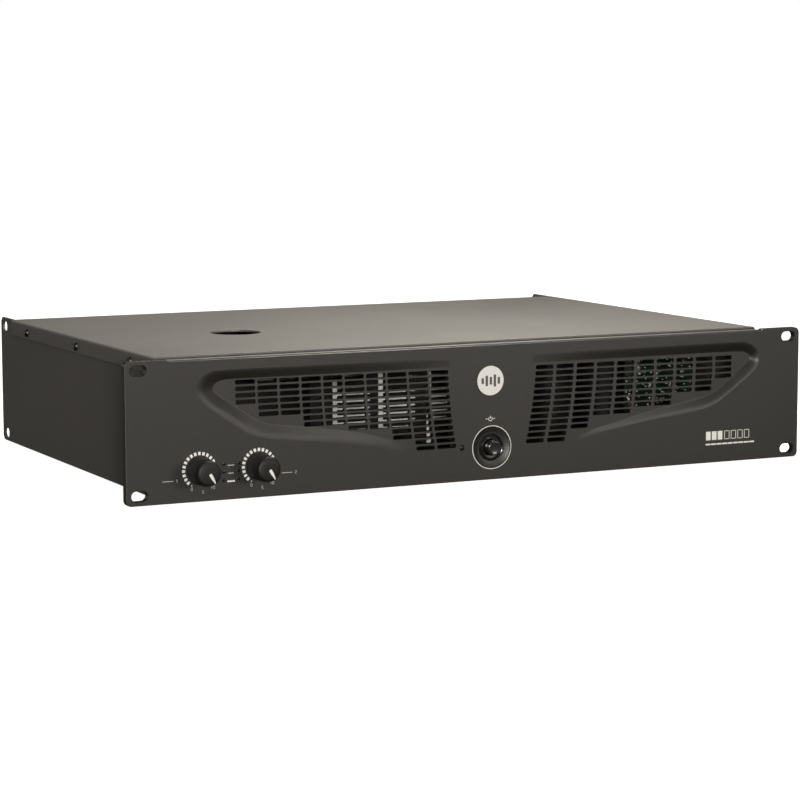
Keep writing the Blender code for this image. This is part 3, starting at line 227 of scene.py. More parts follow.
def brushed_metal(name, dark, light, roughness, scale, stretch=(1.0, 1.0, 1.0), metal=1.0):
    """Bare metal, with drawn lines along the axis whose stretch is small, and duller patches."""
    material, tree, shader = node_material(name)
    lines = noise_node(tree, object_coords(tree, stretch), scale, 4.0, 0.6)
    patches = noise_node(tree, object_coords(tree), 35.0, 3.0, 0.55)
    colour = mix_colours(tree, lines, dark, light)
    stained = mix_colours(tree, map_range(tree, patches, 0.0, 0.35, 0.45, 0.8), colour, scaled(dark, 0.72))
    put(tree, shader, {"Base Color": stained, "Metallic": metal,
                       "Roughness": map_range(tree, lines, roughness - 0.07, roughness + 0.12),
                       "Normal": bump(tree, lines, 0.2, 0.00005)})
    return material


def circuit_board(name):
    """Green solder mask over a fine pattern of tracks."""
    material, tree, shader = node_material(name)
    vector = object_coords(tree)
    tracks = add_node(tree, "TexBrick", Vector=vector, Scale=160.0, Mortar_Size=0.03,
                      Color1=(0.0040, 0.0200, 0.0100), Color2=(0.0055, 0.0280, 0.0130),
                      Mortar=(0.0025, 0.0130, 0.0070))
    grime = noise_node(tree, vector, 90.0, 3.0, 0.6)
    colour = mix_colours(tree, map_range(tree, grime, 0.0, 0.5, 0.4, 0.8), tracks.outputs["Color"],
                         (0.008, 0.036, 0.018))
    put(tree, shader, {"Base Color": colour, "Roughness": map_range(tree, grime, 0.28, 0.42),
                       "Normal": bump(tree, tracks.outputs["Fac"], 0.25, 0.00004)})
    return material


def winding_tape(name):
    """Black polyester tape wound round the ring."""
    material, tree, shader = node_material(name)
    vector = object_coords(tree)
    fine = noise_node(tree, vector, 700.0, 3.0, 0.6)
    drift = noise_node(tree, vector, 45.0, 3.0, 0.6)
    base = colour_ramp(tree, drift, ((0.25, (0.004, 0.004, 0.0045)), (0.75, (0.008, 0.008, 0.0085))))
    colour = mix_colours(tree, map_range(tree, fine, 0.0, 0.5, 0.4, 0.7), base, (0.014, 0.0135, 0.013))
    put(tree, shader, {"Base Color": colour, "Roughness": map_range(tree, fine, 0.52, 0.68),
                       "Specular IOR Level": 0.15, "Normal": bump(tree, fine, 0.3, 0.0001)})
    return material


def printed_ink(name, colour, worn):
    """Screen-printed ink, worn thin in tiny spots."""
    material, tree, shader = node_material(name)
    fine = noise_node(tree, object_coords(tree), 1800.0, 2.0, 0.6)
    printed = mix_colours(tree, map_range(tree, fine, 0.0, 0.45, 0.5, 0.8), colour, worn)
    put(tree, shader, {"Base Color": printed, "Roughness": map_range(tree, fine, 0.38, 0.55),
                       "Normal": bump(tree, fine, 0.2, 0.00003)})
    return material


ALONG_Y = (1.0, 0.04, 1.0)
MAT = {
    "panel": powder_coat("panel_coat", (0.0060, 0.0052, 0.0043), (0.0084, 0.0073, 0.0060), 0.44),
    # Darker, duller copy of the panel coat for the panel's upward-facing top faces: painted shade where those
    # faces would catch light.
    "panel_top_painted_shade": powder_coat("panel_top_painted_shade_coat", (0.0040, 0.0037, 0.0033), (0.0056, 0.0051, 0.0045), 0.70,
                              gleam=0.10),
    "case": powder_coat("case_coat", (0.0360, 0.0336, 0.0300), (0.0490, 0.0457, 0.0410), 0.48),
    # The top cover gets a paler copy of the case's powder coat: painted light on the top, where the same coat
    # catches more light.
    "cover": powder_coat("cover_painted_light_coat", (0.050, 0.047, 0.043), (0.066, 0.063, 0.058), 0.46),
    "zinc": brushed_metal("zinc_sheet_look", (0.11, 0.108, 0.104), (0.18, 0.178, 0.172), 0.50, 90.0),
    "steel": brushed_metal("steel_look", (0.50, 0.50, 0.49), (0.72, 0.72, 0.71), 0.28, 300.0),
    # Heat-sink fins get a dark copy of the aluminium and their front-facing cut ends a pale copy: bare cut
    # ends on darker fins, with painted shade on the fins and painted light on the ends.
    "dark_fin_and_painted_shade": brushed_metal("dark_fin_and_painted_shade_look", (0.10, 0.10, 0.10), (0.18, 0.18, 0.175), 0.50, 420.0, ALONG_Y, 0.6),
    "bare_end_and_painted_light": brushed_metal("bare_end_and_painted_light_look", (0.72, 0.72, 0.71), (0.95, 0.95, 0.93), 0.50, 420.0,
                               ALONG_Y, 0.15),
    "screw": brushed_metal("black_screw_look", (0.020, 0.020, 0.020), (0.060, 0.058, 0.055), 0.36, 500.0),
    "plastic": moulded_plastic("black_plastic_look", (0.012, 0.012, 0.012), (0.020, 0.020, 0.019), 0.42),
    "knob": moulded_plastic("knob_look", (0.005, 0.005, 0.005), (0.009, 0.009, 0.0085), 0.50, 2600.0,
                            gleam=0.22),
    "gloss": moulded_plastic("gloss_black_look", (0.008, 0.008, 0.008), (0.014, 0.014, 0.014), 0.22, 900.0,
                             0.00002, 0.1, 0.3),
    "ink": printed_ink("white_ink", (0.56, 0.56, 0.545), (0.42, 0.415, 0.40)),
    "faint_ink": printed_ink("faint_ink", (0.30, 0.30, 0.29), (0.20, 0.20, 0.19)),
    "solder": brushed_metal("solder_look", (0.62, 0.62, 0.60), (0.90, 0.90, 0.88), 0.40, 900.0, metal=0.3),
    "dark_ink": printed_ink("dark_ink", (0.045, 0.045, 0.045), (0.09, 0.09, 0.085)),
    "badge": printed_ink("badge_white", (0.50, 0.50, 0.49), (0.43, 0.43, 0.42)),
    "board": circuit_board("circuit_board_look"),
    "tape": winding_tape("winding_tape_look"),
    "sleeve": moulded_plastic("capacitor_sleeve_look", (0.005, 0.005, 0.006), (0.009, 0.009, 0.011), 0.50,
                              700.0, 0.00003, 0.15, gleam=0.15),
    "lens": moulded_plastic("smoked_lens", (0.004, 0.004, 0.004), (0.008, 0.008, 0.008), 0.20, 500.0,
                            0.00002, 0.1, 0.3),
    "red": moulded_plastic("red_look", (0.36, 0.010, 0.010), (0.50, 0.020, 0.016), 0.30, 1200.0, 0.00003,
                           0.15, 0.3),
}

NODE_LOOK = {
    "base_pan": "case", "rear_panel": "case", "side_left": "case", "side_right": "case",
    "front_panel": "panel", "top_cover": "cover", "subpanel": "zinc", "transformer_dish": "zinc",
    "power_bezel": "gloss", "badge": "badge", "transformer": "tape", "breaker_button": "red",
    "front_screw": "screw", "transformer_bolt": "steel", "fan_guard": "steel", "mode_switch": "steel",
}
PREFIX_LOOK = (
    ("side_screw", "screw"), ("gain_knob", "knob"), ("gain_shaft", "steel"), ("gain_pot", "steel"),
    ("heat_sink", "dark_fin_and_painted_shade"), ("capacitor", "sleeve"), ("light_pipe", "lens"), ("post_cap_red", "red"),
    ("input_latch", "steel"),
)


def look_of(node):
    if node in NODE_LOOK:
        return NODE_LOOK[node]
    for prefix, look in PREFIX_LOOK:
        if node.startswith(prefix):
            return look
    return "board" if node.endswith("board") or "_board_" in node else "plastic"


for node_name, node_object in NODES.items():
    for material_slot in node_object.material_slots:
        material_slot.material = MAT[look_of(node_name)]


# ---------------------------------------------------------------- mesh helpers


def add_rings(body, rings, loop=False):
    """Joins closed rings of points, each with the same count, into a capped tube or a loop."""
    made = [[body.verts.new(p) for p in ring] for ring in rings]
    count = len(made[0])
    pairs = list(zip(made, made[1:])) + ([(made[-1], made[0])] if loop else [])
    for first, second in pairs:
        for i in range(count):
            j = (i + 1) % count
            body.faces.new((first[i], first[j], second[j], second[i]))
    if not loop:
        body.faces.new(made[0][::-1])
        body.faces.new(made[-1])


def add_prism(body, outline, start, end):
    """A block between two places along Y, its (X, Z) outline the same all the way."""
    add_rings(body, [[(x, y, z) for x, z in outline] for y in (start, end)])


def add_turned(body, profile, centre, segments):
    """Turns a (radius, Y) profile about a line along Y. An end at radius 0 makes a pole; with none,
    the profile closes on itself."""
    rings = []
    for radius, along in profile:
        if radius < 1e-7:
            rings.append([body.verts.new((centre[0], along, centre[1]))])
            continue
        ring = []
        for i in range(segments):
            angle = 2 * math.pi * i / segments
            ring.append(body.verts.new((centre[0] + radius * math.cos(angle), along,
                                        centre[1] + radius * math.sin(angle))))
        rings.append(ring)
    closed = profile[0][0] > 1e-7
    for first, second in list(zip(rings, rings[1:])) + ([(rings[-1], rings[0])] if closed else []):
        for i in range(segments):
            j = (i + 1) % segments
            if len(first) == 1 and len(second) == 1:
                continue
            if len(first) == 1:
                body.faces.new((first[0], second[j], second[i]))
            elif len(second) == 1:
                body.faces.new((first[i], first[j], second[0]))
            else:
                body.faces.new((first[i], first[j], second[j], second[i]))


def add_plug(body, radius, centre, segments, start=CUT_AHEAD, end=CUT_BEHIND):
    """A plain round plug, by default one that cuts right through the panel."""
    add_turned(body, [(0.0, start), (radius, start), (radius, end), (0.0, end)], centre, segments)


def rounded_profile(points, radius, steps):
    """Rounds the corners between the ends of an open (radius, Y) profile."""
    out = [points[0]]
    for before, corner, after in zip(points, points[1:], points[2:]):
        a, b, c = Vector(before), Vector(corner), Vector(after)
        reach = min(radius, (a - b).length * 0.45, (c - b).length * 0.45)
        start, end = b + (a - b).normalized() * reach, b + (c - b).normalized() * reach
        for i in range(steps + 1):
            t = i / steps
            p = start * (1 - t) ** 2 + b * 2 * t * (1 - t) + end * t * t
            out.append((p.x, p.y))
    out.append(points[-1])
    return out


def rounded_box_outline(low, high, radius, steps):
    centres = (
        (high[0] - radius, high[1] - radius, 0.0), (low[0] + radius, high[1] - radius, 90.0),
        (low[0] + radius, low[1] + radius, 180.0), (high[0] - radius, low[1] + radius, 270.0),
    )
    points = []
    for across, up, first in centres:
        for i in range(steps + 1):
            angle = math.radians(first + 90.0 * i / steps)
            points.append((across + radius * math.cos(angle), up + radius * math.sin(angle)))
    return points


def slot_outline(across, up, size, radius, steps):
    """A rounded box by its middle and its (width, height); a large radius gives round ends."""
    return rounded_box_outline((across - size[0] / 2, up - size[1] / 2),
                               (across + size[0] / 2, up + size[1] / 2),
                               min(radius, size[1] / 2 - 1e-5, size[0] / 2 - 1e-5), steps)


def grown(outline, amount):
    """The outline moved outward by an amount, or inward for one below zero."""
    count = len(outline)
    area = sum(outline[i][0] * outline[(i + 1) % count][1] - outline[(i + 1) % count][0] * outline[i][1]
               for i in range(count))
    turn = 1.0 if area > 0 else -1.0
    moved = []
    for i in range(count):
        before = Vector(outline[i]) - Vector(outline[i - 1])
        after = Vector(outline[(i + 1) % count]) - Vector(outline[i])
        first = Vector((before.y, -before.x)).normalized() * turn
        second = Vector((after.y, -after.x)).normalized() * turn
        mitre = (first + second) / max(0.35, 1.0 + first.dot(second))
        moved.append((outline[i][0] + mitre.x * amount, outline[i][1] + mitre.y * amount))
    return moved


def to_object(name, body):
    """A mesh made in panel coordinates becomes an object in the frame's coordinates."""
    bmesh.ops.recalc_face_normals(body, faces=body.faces)
    bmesh.ops.translate(body, verts=body.verts, vec=(0.0, FACE_Y, 0.0))
    mesh = bpy.data.meshes.new(name)
    body.to_mesh(mesh)
    body.free()
    obj = bpy.data.objects.new(name, mesh)
    bpy.context.scene.collection.objects.link(obj)
    return obj


def settle(obj, sharp, weighted=True):
    """Applies the modifiers, then shades the mesh smooth except across sharp edges."""
    apply_modifiers(obj)
    mesh = obj.data
    mesh.polygons.foreach_set("use_smooth", [True] * len(mesh.polygons))
    mesh.set_sharp_from_angle(angle=math.radians(sharp))
    if weighted:
        step = obj.modifiers.new("normals", "WEIGHTED_NORMAL")
        step.mode = "FACE_AREA"
        step.weight = 60
        step.keep_sharp = True
        apply_modifiers(obj)
    return obj


def apply_modifiers(obj):
    if not obj.modifiers:
        return
    graph = bpy.context.evaluated_depsgraph_get()
    graph.update()
    mesh = bpy.data.meshes.new_from_object(obj.evaluated_get(graph))
    obj.modifiers.clear()
    old = obj.data
    obj.data = mesh
    bpy.data.meshes.remove(old)


def boolean(obj, body, operation):
    bmesh.ops.triangulate(body, faces=body.faces)
    tool = to_object(obj.name + "_tool", body)
    step = obj.modifiers.new("cut", "BOOLEAN")
    step.operation = operation
    step.solver = "EXACT"
    step.object = tool
    apply_modifiers(obj)
    bpy.data.objects.remove(tool, do_unlink=True)


def finish_piece(obj, look, body=CHASSIS, stands_for=()):
    obj.data.materials.clear()
    obj.data.materials.append(MAT[look])
    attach(obj, body)
    if stands_for:
        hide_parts(*stands_for)
    return obj


def make_piece(name, body, look, rides_on=CHASSIS, stands_for=(), sharp=40.0, weighted=True):
    """Turns a finished bmesh into a shaded piece with its look, on the body that it rides on."""
    return finish_piece(settle(to_object(name, body), sharp, weighted), look, rides_on, stands_for)


def body_of(node):
    for name, members in frame["record"]["behaviour"]["bodies"].items():
        if node in members:
            return name
    return CHASSIS


def second_look(obj, look, axis, limit, inner=0.0):
    """Gives the faces that point along an axis, or against it for a limit below zero, their own look: a
    darker or paler copy that paints shade or light by the way a face points.
    """
    obj.data.materials.append(MAT[look])
    for face in obj.data.polygons:
        along = face.normal[axis]
        if (along > limit if limit > 0 else along < limit) and face.center.y > FACE_Y + inner:
            face.material_index = 1


def refined(node, width):
    """A copy of a CAD node's shape with its sharp edges broken, standing in for that node."""
    source = NODES[node]
    body = bmesh.new()
    body.from_mesh(source.data)
    bmesh.ops.remove_doubles(body, verts=body.verts, dist=2e-6)
    bmesh.ops.dissolve_limit(body, angle_limit=math.radians(0.5), verts=body.verts, edges=body.edges)
    mesh = bpy.data.meshes.new(node + "_body")
    body.to_mesh(mesh)
    body.free()
    obj = bpy.data.objects.new(node + "_body", mesh)
    bpy.context.scene.collection.objects.link(obj)
    step = obj.modifiers.new("bevel", "BEVEL")
    step.width = width
    step.segments = 2
    step.limit_method = "ANGLE"
    step.angle_limit = math.radians(32.0)
    return finish_piece(settle(obj, 40.0), look_of(node), body_of(node), (node,))


# ---------------------------------------------------------------- front panel


def catmull(points, steps):
    """A smooth curve through the points."""
    out = []
    for i in range(len(points) - 1):
        p0, p1 = points[max(i - 1, 0)], points[i]
        p2, p3 = points[i + 1], points[min(i + 2, len(points) - 1)]
        for k in range(steps):
            t = k / steps
            out.append(tuple(0.5 * ((2 * b) + (c - a) * t + (2 * a - 5 * b + 4 * c - d) * t * t
                                    + (3 * b - a - 3 * c + d) * t ** 3)
                             for a, b, c, d in zip(p0, p1, p2, p3)))
    out.append(tuple(points[-1]))
    return out


def floor_depth(across, up):
    """Depth of a hollow's floor plane behind the face, which is negative past its inner end."""
    return FLOOR_PLANE[0] * abs(across - PATTERN_X) + FLOOR_PLANE[1] * up - FLOOR_PLANE[2]


def wall_rise(s):
    """Share of the depth reached after a share s of the wall: eased widely at the lip and tightly at
    the floor."""
    steep = 1 / (1 - LIP_EASE / 2 - FLOOR_EASE / 2)
    if s < LIP_EASE:
        return steep * s * s / (2 * LIP_EASE)
    if s > 1 - FLOOR_EASE:
        return 1 - steep * (1 - s) ** 2 / (2 * FLOOR_EASE)
    return steep * (s - LIP_EASE / 2)


def wing_cutter(body, side):
    """Solid whose underside is one hollow: rounded lip, sloping wall, flat floor."""
    lip = catmull([row[0] for row in WING_LOFT], 5)
    floor = catmull([row[1 if side < 0 else 2] for row in WING_LOFT], 5)
    shares = [0.0] + [LIP_EASE * k / 7 for k in range(1, 8)] + [0.56, 0.70, 0.82, 0.92, 0.94, 0.96, 0.98, 1.0]
    rings = [[(PATTERN_X + side * u, WING_AHEAD, z) for u, z in lip]]
    for s in shares:
        ring = []
        for (lu, lz), (fu, fz) in zip(lip, floor):
            x, z = PATTERN_X + side * (lu + (fu - lu) * s), lz + (fz - lz) * s
            depth = floor_depth(x, z)
            ring.append((x, (depth * wall_rise(s) if depth > 0 else depth) - 0.00002 * (1 - s), z))
        rings.append(ring)
    add_rings(body, rings)


def slot_places(side):
    """The middle of each ventilation slot in one hollow."""
    first, step, top_out, top_in, pitch_out, pitch_in, drift_out, drift_in, bend = SLOT_GRID[side]
    for column, rows in enumerate(SLOTS_PER_COLUMN):
        t = column / (len(SLOTS_PER_COLUMN) - 1)
        top = top_out + (top_in - top_out) * t
        pitch = pitch_out + (pitch_in - pitch_out) * t
        drift = drift_out + (drift_in - drift_out) * t
        for row in range(rows):
            yield first + step * column + drift * row + bend * row * row, top - pitch * row


def slot_cutter(body, across, up):
    """One ventilation slot with a slightly broken front edge, following the floor's tilt."""
    nominal = slot_outline(across, up, SLOT_SIZE, SLOT_CORNER, 4)
    wide = grown(nominal, 0.00018)

    def at(outline, lift):
        return [(x, max(0.0, floor_depth(x, z)) + lift, z) for x, z in outline]

    add_rings(body, [at(wide, WING_AHEAD), at(wide, -0.00003), at(nominal, 0.00015), at(nominal, 0.0090)])


def add_backing(body, side, amount, front=None, back=None):
    """A block behind a hollow, its outline the hollow's floor grown by an amount. An end that isn't
    given follows the back of the floor."""
    rows = [row[1 if side < 0 else 2] for row in WING_LOFT[:-2]]
    outline = grown([(PATTERN_X + side * u, z) for u, z in rows], amount)
    add_rings(body, [[(x, floor_depth(x, z) + FLOOR_SKIN if end is None else end, z) for x, z in outline]
                     for end in (front, back)])


def panel_outline():
    """The panel's rounded outline, its top edge lowered between the two rack ears."""
    half = PANEL_WIDTH / 2
    low = rounded_box_outline((-half, 0.0), (half, PANEL_HEIGHT), PANEL_CORNER, 8)
    step_z = PANEL_HEIGHT - PANEL_TOP_STEP
    left, right = PANEL_STEP_ENDS
    ease = 0.0012
    top = [(right + ease, PANEL_HEIGHT), (right + ease * 0.3, PANEL_HEIGHT - PANEL_TOP_STEP * 0.3),
           (right - ease * 0.3, step_z + PANEL_TOP_STEP * 0.1), (right - ease, step_z),
           (left + ease, step_z), (left + ease * 0.3, step_z + PANEL_TOP_STEP * 0.1),
           (left - ease * 0.3, PANEL_HEIGHT - PANEL_TOP_STEP * 0.3), (left - ease, PANEL_HEIGHT)]
    corner = len(low) // 4
    return low[:corner] + top + low[corner:]


def front_panel():
    outline = panel_outline()
    body = bmesh.new()
    stack = ((0.0, -0.00055), (0.00012, -0.00022), (0.00045, -0.00002), (0.0009, 0.0), (PANEL_THICKNESS, 0.0))
    add_rings(body, [[(x, y, z) for x, z in grown(outline, inset)] for y, inset in stack])
    panel = to_object("panel_casting", body)

    relief = bmesh.new()
    low, high = -0.002, PANEL_HEIGHT + 0.002
    middle = [(-EAR_INNER_X, low), (EAR_INNER_X, low), (EAR_INNER_X, high), (-EAR_INNER_X, high)]
    add_prism(relief, middle, PANEL_THICKNESS - EAR_PAD_STEP, CUT_BEHIND)
    boolean(panel, relief, "DIFFERENCE")
    backing = bmesh.new()
    for side in (-1, 1):
        add_backing(backing, side, BACKING_RIM, front=BACKING_FRONT)
    for place in PANEL_BOSSES:
        add_plug(backing, 0.0025, place, 20, 0.004, 0.0093)
    boolean(panel, backing, "UNION")

    hollows = bmesh.new()
    for side in (-1, 1):
        wing_cutter(hollows, side)
    dish = [(0.0, CUT_AHEAD), (0.0133, CUT_AHEAD), (0.0131, -0.00002), (0.0126, 0.0004), (0.0100, 0.0013),
            (0.0094, 0.0014), (0.0, 0.0014)]
    add_turned(hollows, dish, POWER_CENTRE, 64)
    for side in (-1, 1):
        add_backing(hollows, side, -BACKING_WALL, back=0.0200)
    boolean(panel, hollows, "DIFFERENCE")

    holes = bmesh.new()
    for side in (-1, 1):
        for across, up in slot_places(side):
            slot_cutter(holes, across, up)
        for up in RACK_SLOT_Z:
            nominal = slot_outline(side * RACK_SLOT_X, up, RACK_SLOT_SIZE, 1.0, 10)
            wide = grown(nominal, 0.0003)
            stack = ((wide, CUT_AHEAD), (wide, -0.00001), (nominal, 0.0003), (nominal, CUT_BEHIND))
            add_rings(holes, [[(x, y, z) for x, z in edge] for edge, y in stack])
    for across in GAIN_X:
        add_plug(holes, 0.0037, (across, GAIN_Z), 32)
    add_plug(holes, 0.0089, POWER_CENTRE, 64)
    add_plug(holes, 0.0018, FRONT_SCREW, 24)
    for across in LIGHT_X:
        for up in LIGHT_Z:
            add_plug(holes, 0.0015, (across, up), 24)
    boolean(panel, holes, "DIFFERENCE")
    settle(panel, 34.0)
    finish_piece(panel, "panel", stands_for=("front_panel",))
    # The panel's upward-facing top faces take the darker copy of its coat: painted shade along the top edge.
    second_look(panel, "panel_top_painted_shade", 2, 0.55, 0.0004)


# ---------------------------------------------------------------- printed marks


INK_RAISE = 0.00006
INK_ROOT = 0.00001


def print_shape(name, body, look="ink"):
    make_piece(name, body, look, sharp=30.0, weighted=False)


def add_patch(body, outline):
    add_prism(body, outline, -INK_RAISE, INK_ROOT)


def turned_point(centre, radius, angle):
    """A point round a centre, its angle clockwise from straight up as seen from the front."""
    a = math.radians(angle)
    return (centre[0] + radius * math.sin(a), centre[1] + radius * math.cos(a))


def tick_marks():
    body = bmesh.new()
    for across in GAIN_X:
        centre = (across, GAIN_Z)
        for i in range(21):
            angle = -150.0 + 15.0 * i
            inner, outer, half = (0.0094, 0.0114, 4.1) if i else (0.0099, 0.0109, 1.2)
            wide = half * outer / inner * 0.92
            corners = ((inner, -wide), (outer, -half), (outer, half), (inner, wide))
            add_patch(body, [turned_point(centre, radius, angle + turn) for radius, turn in corners])
    print_shape("dial_ticks", body)


def stroke(body, start, end, width):
    """A straight printed line with square ends."""
    a, b = Vector(start), Vector(end)
    along = (b - a).normalized() * width / 2
    side = Vector((-along.y, along.x))
    add_patch(body, [tuple(p) for p in (a - along - side, b + along - side, b + along + side,
                                        a - along + side)])


DIGIT_HEIGHT = 0.0018
DIGIT_STROKE = 0.00026
LINE_STROKE = 0.0004
# Each stroke of a numeral as (x0, z0, x1, z1), on a grid one unit wide and two high.
DIGITS = {
    "0": ((0, 0, 1, 0), (1, 0, 1, 2), (1, 2, 0, 2), (0, 2, 0, 0)),
    "1": ((0.55, 0, 0.55, 2), (0.55, 2, 0.15, 1.6)),
    "2": ((0, 2, 1, 2), (1, 2, 1, 1), (1, 1, 0, 1), (0, 1, 0, 0), (0, 0, 1, 0)),
    "5": ((1, 2, 0, 2), (0, 2, 0, 1), (0, 1, 1, 1), (1, 1, 1, 0), (1, 0, 0, 0)),
}


def add_number(body, text, centre):
    """Plain stroke numerals."""
    unit = DIGIT_HEIGHT / 2
    pitch = unit * 1.75
    left = centre[0] - (len(text) - 1) * pitch / 2 - unit / 2
    for i, sign in enumerate(text):
        for k, (x0, z0, x1, z1) in enumerate(DIGITS[sign]):
            start = (left + i * pitch + x0 * unit, centre[1] - unit + z0 * unit)
            end = (left + i * pitch + x1 * unit, centre[1] - unit + z1 * unit)
            stroke(body, start, end, DIGIT_STROKE)


def printed_scales():
    body = bmesh.new()
    for across in GAIN_X:
        add_number(body, "0", (across - 0.0052, 0.0082))
        add_number(body, "5", (across + 0.0021, 0.0060))
        add_number(body, "10", (across + 0.0086, 0.0085))
    stroke(body, (-0.2178, 0.0139), (-0.2110, 0.0139), LINE_STROKE)
    add_number(body, "1", (-0.2085, 0.0139))
    stroke(body, (-0.1392, 0.0142), (-0.1324, 0.0142), LINE_STROKE)
    add_number(body, "2", (-0.1300, 0.0142))
    print_shape("printed_scales", body, "faint_ink")
    body = bmesh.new()
    middle = (LIGHT_X[0] + LIGHT_X[1]) / 2
    for up, width in ((0.0213, 0.0036), (0.0164, 0.0028)):
        stroke(body, (middle - width / 2, up), (middle + width / 2, up), 0.0006)
    print_shape("level_labels", body, "faint_ink")
    body = bmesh.new()
    for shift in (-0.0016, 0.0, 0.0016):
        stroke(body, (middle + shift - 0.0004, 0.0114), (middle + shift + 0.0004, 0.0114), 0.0009)
    print_shape("signal_label", body)


def ring_patch(body, centre, inner, outer, segments, start=0.0, sweep=360.0):
    """A printed ring, or part of one for a sweep below a whole turn."""
    whole = sweep >= 359.9
    count = segments if whole else segments + 1
    rings = []
    for radius, y in ((inner, -INK_RAISE), (outer, -INK_RAISE), (outer, INK_ROOT), (inner, INK_ROOT)):
        rings.append([(*turned_point(centre, radius, start + sweep * i / segments), y) for i in range(count)])
    made = [[body.verts.new((x, y, z)) for x, z, y in ring] for ring in rings]
    for first, second in zip(made, made[1:] + made[:1]):
        for i in range(count if whole else count - 1):
            j = (i + 1) % count
            body.faces.new((first[i], first[j], second[j], second[i]))
    if not whole:
        body.faces.new([ring[0] for ring in made])
        body.faces.new([ring[-1] for ring in made][::-1])


def power_marks():
    body = bmesh.new()
    ring_patch(body, POWER_CENTRE, 0.01365, 0.01407, 120)
    print_shape("power_ring", body)
    body = bmesh.new()
    x, z = POWER_CENTRE[0] - 0.0010, 0.0394
    ring_patch(body, (x, z), 0.0011, 0.0015, 32, 40.0, 280.0)
    stroke(body, (x, z + 0.0003), (x, z + 0.0017), LINE_STROKE)
    for turn in (-1, 1):
        stroke(body, (x + turn * 0.0022, z), (x + turn * 0.0032, z), LINE_STROKE)
    print_shape("power_symbol", body)


def model_bars():
    """Where the real panel carries lettering, plain bars stand in for it."""
    body = bmesh.new()
    left, low, high = 0.1682, 0.0152, 0.0210
    for i in range(3):
        x = left + i * 0.0046
        add_patch(body, [(x, low), (x + 0.0036, low), (x + 0.0036, high), (x, high)])
    foot, top = low + LINE_STROKE / 2, high - LINE_STROKE / 2
    for i in range(4):
        x = left + 0.0146 + i * 0.0052
        for start, end in (((x, foot), (x, top)), ((x + 0.0036, foot), (x + 0.0036, top)),
                           ((x + 0.0008, foot), (x + 0.0028, foot)), ((x + 0.0008, top), (x + 0.0028, top))):
            stroke(body, start, end, LINE_STROKE)
    for i in range(9):
        x = left + i * 0.0043
        stroke(body, (x + 0.0003, 0.0124), (x + 0.0031, 0.0124), 0.0010)
    print_shape("name_bars", body)


def badge():
    """A pale disc with five plain bars in place of the real one's mark."""
    body = bmesh.new()
    disc = [(0.0, -0.0014), (BADGE_RADIUS, -0.0013), (BADGE_RADIUS, -0.0003), (0.0, -0.0003)]
    add_turned(body, rounded_profile(disc, 0.0005, 5), BADGE_CENTRE, 96)
    make_piece("badge_disc", body, "badge", stands_for=("badge",), sharp=50.0)
    body = bmesh.new()
    for i, height in enumerate((0.0038, 0.0068, 0.0050, 0.0078, 0.0044)):
        x, z = BADGE_CENTRE[0] + (i - 2) * 0.0029, BADGE_CENTRE[1]
        outline = rounded_box_outline((x - 0.00085, z - height / 2), (x + 0.00085, z + height / 2), 0.0004, 4)
        add_prism(body, outline, -0.00145, -0.0012)
    print_shape("badge_bars", body, "dark_ink")


# ---------------------------------------------------------------- controls


# The knob's outside as (radius, Y), and the pointer's rows as (distance out, half width).
KNOB_FACE = ((0.0, -0.0174), (0.0040, -0.0173), (0.0062, -0.0170), (0.0072, -0.0165), (0.0077, -0.0156),
             (0.0080, -0.0142), (0.00815, -0.0100), (0.0083, -0.0028))
POINTER_ANGLE = 149.0
POINTER_ROWS = ((0.0001, 0.00080), (0.0010, 0.00094), (0.0024, 0.00092), (0.0038, 0.00078),
                (0.0050, 0.00062), (0.0062, 0.00048), (0.0070, 0.00040), (0.0075, 0.00035),
                (0.0078, 0.00031), (0.00798, 0.00028))
POINTER_ROOT = 0.0003
POINTER_RAISE = 0.00007


def knob_surface(radius):
    """How far the knob's outside lies ahead of the panel at a given radius."""
    for (r0, y0), (r1, y1) in zip(KNOB_FACE, KNOB_FACE[1:]):
        if radius <= r1:
            return y0 + (y1 - y0) * (radius - r0) / (r1 - r0)
    return KNOB_FACE[-1][1]


def gain_knobs():
    for number, across in enumerate(GAIN_X, 1):
        body = bmesh.new()
        outer = [*KNOB_FACE, (0.0084, -0.0018), (0.0084, -0.0006), (0.0031, -0.0006), (0.0031, -0.0100),
                 (0.0, -0.0100)]
        add_turned(body, rounded_profile(outer, 0.0004, 3), (across, GAIN_Z), 96)
        make_piece(f"knob_{number}", body, "knob", f"gain_{number}", (f"gain_knob_{number}",), 50.0)
        body = bmesh.new()
        rings = []
        for along, half in POINTER_ROWS:
            radius, lean = math.hypot(along, half), math.degrees(math.atan2(half, along))
            near, far = (turned_point((across, GAIN_Z), radius, POINTER_ANGLE + turn)
                         for turn in (-lean, lean))
            root, front = knob_surface(radius) + POINTER_ROOT, knob_surface(radius) - POINTER_RAISE
            rings.append([(near[0], root, near[1]), (near[0], front, near[1]), (far[0], front, far[1]),
                          (far[0], root, far[1])])
        add_rings(body, rings)
        make_piece(f"knob_pointer_{number}", body, "ink", f"gain_{number}", weighted=False)


def power_control():
    body = bmesh.new()
    profile = [(0.0086, 0.0016), (0.0086, 0.0155), (0.0053, 0.0155), (0.0053, 0.0018), (0.0056, 0.0013),
               (0.0070, 0.0012), (0.0072, 0.0016), (0.0073, 0.0027), (0.0075, 0.0028), (0.0077, 0.0018),
               (0.0079, 0.0009), (0.0081, 0.0008), (0.0084, 0.0012)]
    add_turned(body, profile, POWER_CENTRE, 96)
    make_piece("power_surround", body, "gloss", stands_for=("power_bezel",))
    body = bmesh.new()
    outer = [(0.0, -0.0043), (0.0030, -0.0045), (0.0040, -0.0048), (0.0048, -0.0042), (0.0048, 0.0120),
             (0.0022, 0.0120), (0.0022, 0.0250), (0.0, 0.0250)]
    add_turned(body, rounded_profile(outer, 0.0006, 4), POWER_CENTRE, 64)
    make_piece("power_cap_body", body, "gloss", "power_cap", ("power_button",), 50.0)


